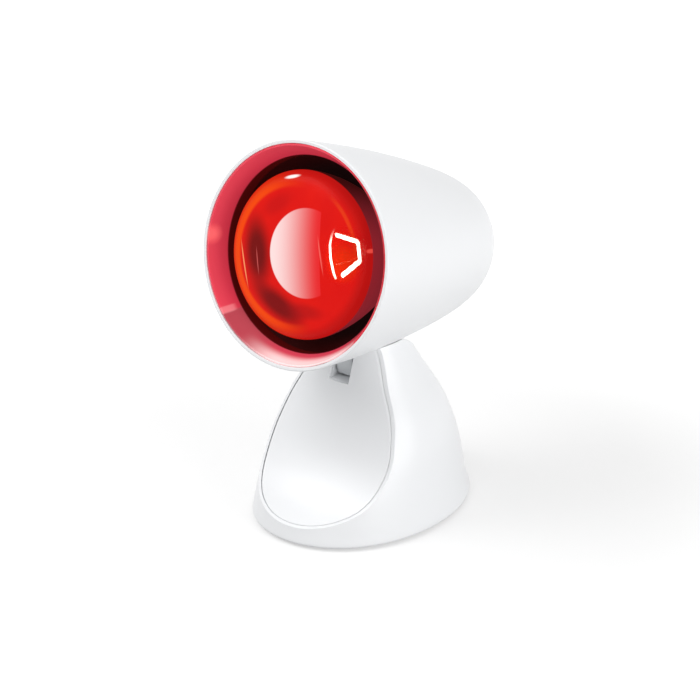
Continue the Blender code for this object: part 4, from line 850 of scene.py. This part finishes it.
class MakeHeadShell(bpy.types.Operator):
    """Bullet-shaped shell with its rounded lip, arm slot and vents"""

    bl_idname = "heat_lamp.make_head_shell"
    bl_label = "Head shell"

    def execute(self, context):
        head, foot = settings().head, settings().foot
        outer = head_outline()
        inner = [(head.mouth_radius - head.wall, head.lip / 2)]
        inner += [
            (max(head_radius(at) - head.wall, 0.0), at)
            for _, at in outer[LIP_STEPS + 1 : -1]
            if at < head.length - 3 * head.wall
        ]
        inner.append((0.0, head.length - head.wall))
        shell = lathe("head_housing", inner[::-1] + outer, LATHE_STEPS)
        half, end = head.vent_width / 2, head.vent_start + head.vent_length
        for index in range(head.vents):
            across = (index - (head.vents - 1) / 2) * head.vent_pitch
            low = (across - half, head.mouth_radius / 4, head.vent_start)
            vent = block("vent_cutter", low, (across + half, head.mouth_radius, end))
            apply_modifier(vent, "BEVEL", width=head.vent_width * 0.45, segments=4)
            carve(shell, vent, solver="EXACT")
        settle(shell, head_frame())
        arm_low, arm_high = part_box("tilt_arm")
        margin, back_margin, plate_drop = 0.0008, 0.0015, 0.0035
        half = foot.slot_width / 2 - margin
        low = (-half, arm_low.y - margin, foot.pivot_height)
        high = (half, arm_high.y - back_margin, arm_high.z - plate_drop)
        carve(shell, block("slot_cutter", low, high), solver="EXACT")
        fit(shell, Matrix(), white_moulding(), "white_plastic", "head", "head_shell")
        return {"FINISHED"}


class MakeBezel(bpy.types.Operator):
    """Glossy funnel inside the mouth"""

    bl_idname = "heat_lamp.make_bezel"
    bl_label = "Bezel"

    def execute(self, context):
        head = settings().head
        rim = head.mouth_radius - head.wall - GAP
        end = head.bezel_depth + head.bezel_skirt
        outer = head.bezel_radius + head.bezel_wall
        toe = head.bezel_depth * 0.9
        start_radius, start_depth = rim - 0.0011, 0.0009
        toe_radius, collar = head.bezel_radius + head.bezel_wall / 3, 0.0042
        crown, easing, steps = 0.0006, 0.0004, 12
        outline = [(rim - 0.0001, 0.001), (rim - 0.0005, 0.0006), (start_radius, start_depth)]
        for step in range(1, steps):
            share = step / steps
            radius = start_radius - (start_radius - toe_radius) * share
            bow = crown * math.sin(math.pi * share)
            outline.append((radius + bow, start_depth + (toe - start_depth) * share))
        outline += [
            (toe_radius, toe),
            (head.bezel_radius + head.bezel_wall / 12, toe + 0.0008),
            (head.bezel_radius, toe + 0.0018),
            (head.bezel_radius, end - easing),
            (head.bezel_radius + easing, end),
            (outer, end),
            (outer, head.bezel_depth + head.bezel_wall),
            (rim - head.bezel_wall, collar),
            (head_radius(collar) - head.wall - GAP, collar),
        ]
        bezel = lathe("bezel_funnel", outline, LATHE_STEPS, True)
        fit(bezel, head_frame(), red_lit_bezel(), "bezel_plastic", "head", "front_bezel")
        return {"FINISHED"}


class MakeHeatShield(bpy.types.Operator):
    """Sheet cone between the bulb and the shell, dark with painted shade"""

    bl_idname = "heat_lamp.make_heat_shield"
    bl_label = "Heat shield"

    def execute(self, context):
        head = settings().head
        low = head.bezel_depth + head.bezel_skirt + GAP
        mouth = head.bezel_radius + head.bezel_wall - head.shield_wall / 2
        end, flange_width, steps = 0.1079, 0.0042, 12
        inner = []
        for step in range(steps + 1):
            share = step / steps
            radius = mouth + (head.shield_waist - mouth) * share
            inner.append((radius, low + (head.shield_depth - low) * share))
        outer = [(radius + head.shield_wall, at + head.shield_wall / 3) for radius, at in inner]
        outer[0] = (mouth + head.shield_wall, low)
        flange = head.shield_waist + flange_width
        outline = inner + [(head.shield_waist, end), (flange, end)]
        outline += [(flange, end - head.shield_wall), (outer[-1][0], end - head.shield_wall)]
        shield = lathe("shield_cone", outline + outer[::-1], 96, True)
        fit(shield, head_frame(), shield_coat(), "shield_sheet", "head", "heat_shield")
        return {"FINISHED"}


# Bulb


def face_outline(inset):
    """Front of the bulb from its middle to its widest ring."""
    bulb = settings().bulb
    ring = bulb.radius - bulb.shoulder
    dome, round_radius = bulb.dome - inset, bulb.shoulder - inset
    edge = math.asin(ring / (bulb.dome - bulb.shoulder))
    apex = bulb.depth - bulb.shoulder * math.cos(edge) - bulb.dome * (1 - math.cos(edge))
    points = []
    for step in range(FACE_STEPS):
        angle = edge * step / FACE_STEPS
        points.append((dome * math.sin(angle), apex + bulb.dome - dome * math.cos(angle)))
    for step in range(SHOULDER_STEPS + 1):
        angle = edge + (math.pi / 2 - edge) * step / SHOULDER_STEPS
        depth = bulb.depth - round_radius * math.cos(angle)
        points.append((ring + round_radius * math.sin(angle), depth))
    return points


def bowl_outline():
    """The bulb's reflector from behind its widest ring to its neck."""
    bulb = settings().bulb
    points = [(bulb.radius, bulb.depth + 0.0002)]
    for step in range(1, BOWL_STEPS + 1):
        share = step / BOWL_STEPS
        drop = (bulb.radius - bulb.neck_radius) * share ** BOWL_POWER
        points.append((bulb.radius - drop, bulb.depth + (bulb.neck_depth - bulb.depth) * share))
    return points


class MakeBulb(bpy.types.Operator):
    """Red reflector bulb: lit face and mirrored bowl with its neck"""

    bl_idname = "heat_lamp.make_bulb"
    bl_label = "Bulb"

    def execute(self, context):
        bulb = settings().bulb
        face = lathe("bulb_face", face_outline(0.0) + face_outline(bulb.wall)[::-1])
        fit(face, head_frame(), red_face_glass(), "red_glass", "head", "bulb_glass")
        cap_wall = 0.0008
        neck = bulb.cap_radius - cap_wall
        waist = (bulb.neck_depth + bulb.cap_depth) / 2
        back = bowl_outline() + [(bulb.neck_radius * WAIST_SHARE, waist)]
        back += [(neck, bulb.cap_depth), (neck, bulb.end_depth)]
        front = [(radius - bulb.wall, at) for radius, at in back]
        bowl = lathe("bulb_bowl", back + front[::-1], 96, True)
        for finish in (bowl_glow(), bowl_mirror())[::-1]:
            bowl.data.materials.append(finish)
        for side in bowl.data.polygons:
            if side.center.x * side.normal.x + side.center.y * side.normal.y < 0:
                side.material_index = 1
        fit(bowl, head_frame(), None, "red_glass", "head", "bulb_glass")
        return {"FINISHED"}


def wire(name, points, radius, resolution):
    """A round wire along the points, as a mesh."""
    curve = bpy.data.curves.new(name, "CURVE")
    curve.dimensions = "3D"
    curve.bevel_depth = radius
    curve.bevel_resolution = resolution
    curve.use_fill_caps = True
    spline = curve.splines.new("POLY")
    spline.points.add(len(points) - 1)
    for item, place in zip(spline.points, points):
        item.co = (*place, 1.0)
    obj = bpy.data.objects.new(name, curve)
    bpy.context.scene.collection.objects.link(obj)
    pick(obj)
    bpy.ops.object.convert(target="MESH")
    return rename(name)


class MakeFilament(bpy.types.Operator):
    """Coiled filament in its open ring, with its bent supports"""

    bl_idname = "heat_lamp.make_filament"
    bl_label = "Filament"

    def execute(self, context):
        bulb = settings().bulb
        corners = ((-0.0069, 0.0079), (0.0092, 0.0074), (0.0126, -0.0031), (0.0018, -0.0141))
        steps, turn, flatness, support_share = 72, 1.2, 0.7, 1.4
        path = [
            [a + (b - a) * step / steps for a, b in zip(start, end)]
            for start, end in zip(corners, corners[1:])
            for step in range(steps)
        ]
        loops = []
        for index, (across, up) in enumerate(path):
            angle = index * turn
            swing = bulb.coil_radius * math.cos(angle)
            depth = bulb.filament_depth + bulb.coil_radius * math.sin(angle)
            loops.append((across + swing * flatness, swing - up, depth))
        coil = wire("filament_coil", loops, bulb.wire_radius, 1)
        bend = [(-0.0043, -0.0141, 0.0415), (-0.005, -0.008, 0.0405), (-0.0048, -0.0028, 0.04)]
        bend += [(-0.003, 0.0045, 0.04), (0.0, 0.012, 0.0405), (0.0017, 0.0157, 0.0415)]
        support = wire("filament_support", bend, bulb.wire_radius * support_share, 2)
        for piece, nodes in ((coil, ("filament",)), (support, ())):
            dressing = (slot_finish("filament_wire"), "filament_wire", "head", *nodes)
            fit(piece, head_frame(), *dressing, angle=math.radians(80))
        return {"FINISHED"}


# Foot pieces


def closed_object():
    """Close the edit of a lofted piece, all in triangles."""
    face_out()
    bpy.ops.mesh.quads_convert_to_tris()
    bpy.ops.object.mode_set(mode="OBJECT")
    return bpy.context.object


def bell(name, inset, low, high, rings=64, sides=LATHE_STEPS, rounded=False):
    """The foot's bell, drawn as one ring that is extruded, sized and moved up."""
    foot = settings().foot
    rows = []
    if rounded:
        low = foot.edge + foot.edge_round
        for sine, cosine in quarter_turn(EDGE_STEPS)[:-1]:
            rise = foot.edge_round * (1 - cosine)
            rows.append((foot.edge + rise, inset + foot.edge_round * (1 - sine)))
    rows += [(low + (high - low) * step / rings, inset) for step in range(rings + 1)]
    deselect()
    bpy.ops.mesh.primitive_circle_add(vertices=sides, radius=1.0, fill_type="NGON")
    obj = rename(name)
    power = 2 / FOOT_ROUNDNESS
    for point in obj.data.vertices:
        angle = math.atan2(point.co.y, point.co.x)
        point.co.x = math.copysign(abs(math.cos(angle)) ** power, math.cos(angle))
        point.co.y = math.copysign(abs(math.sin(angle)) ** power, math.sin(angle))
    bpy.ops.object.mode_set(mode="EDIT")
    bpy.ops.mesh.select_all(action="SELECT")
    size, place = (1.0, 1.0), Vector((0.0, 0.0, 0.0))
    for index, (height, row_inset) in enumerate(rows):
        half_width, half_depth, middle = foot_section(height)
        wanted = (half_width - row_inset, half_depth - row_inset)
        target = Vector((0.0, middle, height))
        if index:
            bpy.ops.mesh.extrude_region_move()
        scale = (wanted[0] / size[0], wanted[1] / size[1], 1.0)
        bpy.ops.transform.resize(value=scale, center_override=place)
        bpy.ops.transform.translate(value=target - place)
        size, place = wanted, target
    return closed_object()


def crowned_block(offset, depth=None, cells=56):
    """A block whose back is the crowned front surface, moved back by the offset."""
    foot = settings().foot
    deselect()
    bpy.ops.mesh.primitive_grid_add(x_subdivisions=cells, y_subdivisions=cells, size=1.0)
    obj = rename("front_cutter")
    half, low, high = foot.half_width + OVERRUN, -OVERRUN, bell_top() + OVERRUN
    for point in obj.data.vertices:
        across = 2 * half * point.co.x
        height = low + (high - low) * (point.co.y + 0.5)
        point.co = (across, panel_front(across, height) + offset, height)
    bpy.ops.object.mode_set(mode="EDIT")
    bpy.ops.mesh.select_all(action="SELECT")
    forward = -(depth if depth else 2 * foot.half_depth)
    bpy.ops.mesh.extrude_region_move(TRANSFORM_OT_translate={"value": (0.0, forward, 0.0)})
    return closed_object()


def bell_top():
    return settings().foot.height * FOOT_LEVEL_SHARES[-1]


def slot_cutter():
    foot = settings().foot
    half, low = foot.slot_width / 2, foot.slot_floor
    high = (half, foot.slot_back, bell_top() + 0.01)
    return block("slot_cutter", (-half, -foot.half_depth, low), high)


def head_cutter(tilt, drop=0.0):
    """The head with its clearance, tilted up about the pivot, in the foot's own place."""
    head, foot = settings().head, settings().foot
    cutter = lathe("head_cutter", [(0.0, -foot.head_gap)] + head_outline(foot.head_gap, 40))
    pivot = Vector((0.0, foot.pivot_back, foot.pivot_height))
    turn = Matrix.Translation(pivot) @ Matrix.Rotation(-tilt, 4, "X")
    settle(cutter, turn @ Matrix.Translation(-pivot) @ foot_place().inverted() @ head_frame())
    return settle(cutter, Matrix.Translation((0.0, 0.0, -drop)))


def tilt_limits():
    joint = next(item for item in frame["joints"] if item["name"] == "head_tilt")
    return 0.0, math.radians(max(joint["range_deg"]))


class MakeFootShell(bpy.types.Operator):
    """Bell-shaped shell with the panel's recess, the cheeks and the slot"""

    bl_idname = "heat_lamp.make_foot_shell"
    bl_label = "Foot shell"

    def execute(self, context):
        foot = settings().foot
        top = bell_top()
        shell = bell("foot_housing", 0.0, foot.edge, top, rounded=True)
        ceiling = foot.height - foot.wall
        hollow = bell("hollow", foot.wall, -OVERRUN, ceiling, rings=30, sides=64)
        recess = foot.panel_thick + GAP
        carve(hollow, crowned_block(recess + foot.wall, cells=24))
        cheek, floor = 0.0026, 0.0085
        half = foot.slot_width / 2 + cheek
        low = (-half, -foot.half_depth, foot.slot_floor - floor)
        carve(hollow, block("core_cutter", low, (half, foot.slot_back + cheek, top)))
        for tilt in tilt_limits():
            carve(hollow, head_cutter(tilt, foot.wall))
        carve(shell, hollow)
        carve(shell, crowned_block(0.0))
        pocket = bell("pocket", foot.rim, foot.edge, top - OVERRUN)
        carve(pocket, crowned_block(recess, recess + OVERRUN), "INTERSECT")
        carve(shell, pocket)
        for tilt in tilt_limits():
            carve(shell, head_cutter(tilt))
        carve(shell, slot_cutter())
        pin_bore, reach, sleeve = 0.00265, 0.022, 0.0108
        inlet_bore, inlet_seat, depth = 0.0055, 0.0071, 0.02
        pivot = (foot.pivot_back, foot.pivot_height)
        carve(shell, drum(pin_bore, -reach, reach, "X", 24, pivot))
        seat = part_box("cord_gland")[1].y - foot_middle() - sleeve
        inlet = (0.0, foot.inlet_height)
        carve(shell, drum(inlet_bore, seat - depth, seat + depth, "Y", 48, inlet))
        carve(shell, drum(inlet_seat, seat, seat + depth, "Y", 48, inlet))
        fit(shell, foot_place(), white_moulding(), "white_plastic", "foot", "foot_shell")
        return {"FINISHED"}


class MakeFrontPanel(bpy.types.Operator):
    """Egg-shaped crowned panel with its notch"""

    bl_idname = "heat_lamp.make_front_panel"
    bl_label = "Front panel"

    def execute(self, context):
        foot = settings().foot
        panel = bell("egg_panel", foot.rim + foot.parting, foot.edge, bell_top() - OVERRUN)
        carve(panel, crowned_block(foot.panel_thick, foot.panel_thick), "INTERSECT")
        carve(panel, head_cutter(0.0))
        carve(panel, slot_cutter())
        fit(panel, foot_place(), white_moulding(), "white_plastic", "foot", "front_panel")
        return {"FINISHED"}


class MakeTiltArm(bpy.types.Operator):
    """Arm with its eye and notched segment, its edges eased"""

    bl_idname = "heat_lamp.make_tilt_arm"
    bl_label = "Tilt arm"

    def execute(self, context):
        arm = copy_of("tilt_arm", "eased_arm", bevel=0.00025)
        fit(arm, Matrix(), slot_finish("arm_nylon"), "arm_nylon", "head", "tilt_arm")
        return {"FINISHED"}


class MakeUnderside(bpy.types.Operator):
    """Rubber pads with a rounded tread under the foot"""

    bl_idname = "heat_lamp.make_underside"
    bl_label = "Underside"

    def execute(self, context):
        low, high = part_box("foot_pad_1")
        radius, height = (high.x - low.x) / 2, high.z
        rounding, tread, rim, hollow = 0.0007, 0.0004, radius * 0.62, radius * 0.58
        outline = [(0.0, height), (radius, height), (radius, rounding)]
        for sine, cosine in quarter_turn(LIP_STEPS)[1:]:
            outline.append((radius - rounding * (1 - cosine), rounding * (1 - sine)))
        outline += [(rim, 0.0), (hollow, tread), (0.0, tread)]
        for index in range(1, 5):
            pad = lathe(f"tread_pad_{index}", outline, 48)
            node = f"foot_pad_{index}"
            middle = sum(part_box(node), Vector()) / 2
            place = Matrix.Translation((middle.x, middle.y, 0.0))
            fit(pad, place, slot_finish("pad_rubber"), "pad_rubber", "foot", node)
        return {"FINISHED"}


class MakeCordGland(bpy.types.Operator):
    """Rubber gland with its ribbed sleeve"""

    bl_idname = "heat_lamp.make_cord_gland"
    bl_label = "Cord gland"

    def execute(self, context):
        low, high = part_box("cord_gland")
        bore, body, flange = 0.0032, 0.0052, (high.x - low.x) / 2
        seat, tip, span, ribs = 0.0048, 0.0045, high.y - low.y, 4
        groove, taper = 0.0008, 0.0001
        start = seat + 0.0018
        outline = [(bore, 0.0), (body, 0.0), (body, seat), (flange - GAP, seat)]
        outline += [(flange, seat + GAP), (flange, seat + 0.0013), (flange - 0.0005, start)]
        pitch = (span - start) / ribs
        for index in range(ribs):
            at = start + index * pitch
            outer = body + (tip - body) * index / ribs
            inner = outer - groove
            outline += [(inner, at + pitch * 0.05), (inner, at + pitch * 0.3)]
            outline += [(outer, at + pitch * 0.42), (outer - taper, at + pitch * 0.92)]
        outline += [(tip - 0.0005, span), (bore, span)]
        gland = lathe("ribbed_gland", outline, 48, True)
        centre = (low + high) / 2
        place = Matrix.Translation((centre.x, low.y, centre.z))
        place @= Matrix.Rotation(-math.pi / 2, 4, "X")
        fit(gland, place, slot_finish("pad_rubber"), "pad_rubber", "foot", "cord_gland")
        return {"FINISHED"}


class FinishNodes(bpy.types.Operator):
    """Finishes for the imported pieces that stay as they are"""

    bl_idname = "heat_lamp.finish_nodes"
    bl_label = "Inner pieces"

    def execute(self, context):
        for entry in frame["record"]["subparts"]:
            obj, finish = frame["nodes"][entry["node"]], slot_finish(entry["material_slot"])
            if not obj.material_slots:
                obj.data.materials.append(finish)
            for item in obj.material_slots:
                item.material = finish
        return {"FINISHED"}


# Stage


def soft_lamp(name, place, size, power):
    data = bpy.data.lights.new(name, "AREA")
    data.shape = "SQUARE"
    data.size = size
    data.energy = power
    obj = bpy.data.objects.new(name, data)
    obj.location = place
    direction = LAMP_AIM - Vector(place)
    obj.rotation_euler = direction.to_track_quat("-Z", "Y").to_euler()
    bpy.context.scene.collection.objects.link(obj)


def seen_by(graph, *kinds):
    """1 for the kinds of ray, 0 for the others."""
    path = graph.node("ShaderNodeLightPath")
    seen = path.outputs[f"Is {kinds[0]} Ray"]
    for kind in kinds[1:]:
        seen = graph.math("MAXIMUM", seen, path.outputs[f"Is {kind} Ray"])
    return seen


class MakeStage(bpy.types.Operator):
    """Pale floor, white world, soft lamps and the camera"""

    bl_idname = "heat_lamp.make_stage"
    bl_label = "Stage"

    def execute(self, context):
        scene = context.scene
        scene.view_settings.view_transform = "Standard"
        deselect()
        bpy.ops.mesh.primitive_plane_add(size=6.0, location=(0.0, 0.0, -0.0001))
        floor = rename("floor")
        made, graph, shader, place = new_material("pale_floor")
        matt = {"Base Color": (0.5, 0.5, 0.5), "Roughness": 0.9, "Specular IOR Level": 0.0}
        graph.fill(shader, matt)
        where = graph.node("ShaderNodeVectorMath", {0: place}, operation="LENGTH")
        far = graph.ramp(where.outputs["Value"], 0.16, 0.5)
        seen = seen_by(graph, "Camera", "Glossy")
        strength = graph.times(seen, graph.line(far, 0.4, 0.52))
        lift = graph.node("ShaderNodeEmission", {"Color": (1.0, 1.0, 1.0), "Strength": strength})
        total = graph.node("ShaderNodeAddShader", {0: shader, 1: lift})
        graph.feed(made.node_tree.nodes["Material Output"].inputs["Surface"], total)
        floor.data.materials.append(made)

        scene.world = bpy.data.worlds.new("studio")
        scene.world.use_nodes = True
        graph = Graph(scene.world.node_tree)
        seen = seen_by(graph, "Camera", "Glossy", "Transmission")
        white = {"Color": (1.0, 1.0, 1.0), "Strength": graph.line(seen, 0.55, 0.45)}
        graph.fill(graph.tree.nodes["Background"], white)

        soft_lamp("key", (-0.72, -0.84, 1.2), 1.0, 14.3)
        soft_lamp("side", (1.3, -0.1, 0.3), 1.0, 12.5)
        soft_lamp("top", (0.0, 0.3, 1.4), 1.2, 2.0)

        azimuth, elevation, distance = math.radians(37.32), math.radians(23.47), 1.5
        focal_pixels, picture_pixels = 2555, 700
        across, forward = math.sin(azimuth), -math.cos(azimuth)
        level, up = math.cos(elevation), math.sin(elevation)
        aim = Vector((-0.0094, -0.0098, 0.0942))
        back_way = Vector((across * level, forward * level, up))
        data = bpy.data.cameras.new("view")
        data.sensor_width = 36.0
        data.lens = focal_pixels * data.sensor_width / picture_pixels
        data.clip_end = 50.0
        camera = bpy.data.objects.new("view", data)
        scene.collection.objects.link(camera)
        camera.location = aim + back_way * distance
        camera.rotation_euler = (-back_way).to_track_quat("-Z", "Y").to_euler()
        scene.camera = camera
        return {"FINISHED"}


OPERATORS = (
    MakeHeadShell,
    MakeBezel,
    MakeHeatShield,
    MakeBulb,
    MakeFilament,
    MakeFootShell,
    MakeFrontPanel,
    MakeTiltArm,
    MakeUnderside,
    MakeCordGland,
    FinishNodes,
    MakeStage,
)


class HeatLampPanel(bpy.types.Panel):
    """Buttons for the lamp's pieces"""

    bl_idname = "VIEW3D_PT_heat_lamp"
    bl_label = "Heat lamp"
    bl_space_type = "VIEW_3D"
    bl_region_type = "UI"
    bl_category = "Heat lamp"

    def draw(self, context):
        for operator in OPERATORS:
            self.layout.operator(operator.bl_idname)


CLASSES = (HeadSizes, BulbSizes, FootSizes, Colours, LampSettings, *OPERATORS, HeatLampPanel)


def register():
    for item in CLASSES:
        bpy.utils.register_class(item)
    bpy.types.Scene.heat_lamp = PointerProperty(type=LampSettings)


def unregister():
    del bpy.types.Scene.heat_lamp
    for item in reversed(CLASSES):
        bpy.utils.unregister_class(item)


def main():
    register()
    for operator in OPERATORS:
        group, name = operator.bl_idname.split(".")
        getattr(getattr(bpy.ops, group), name)()


if __name__ == "__main__":
    main()
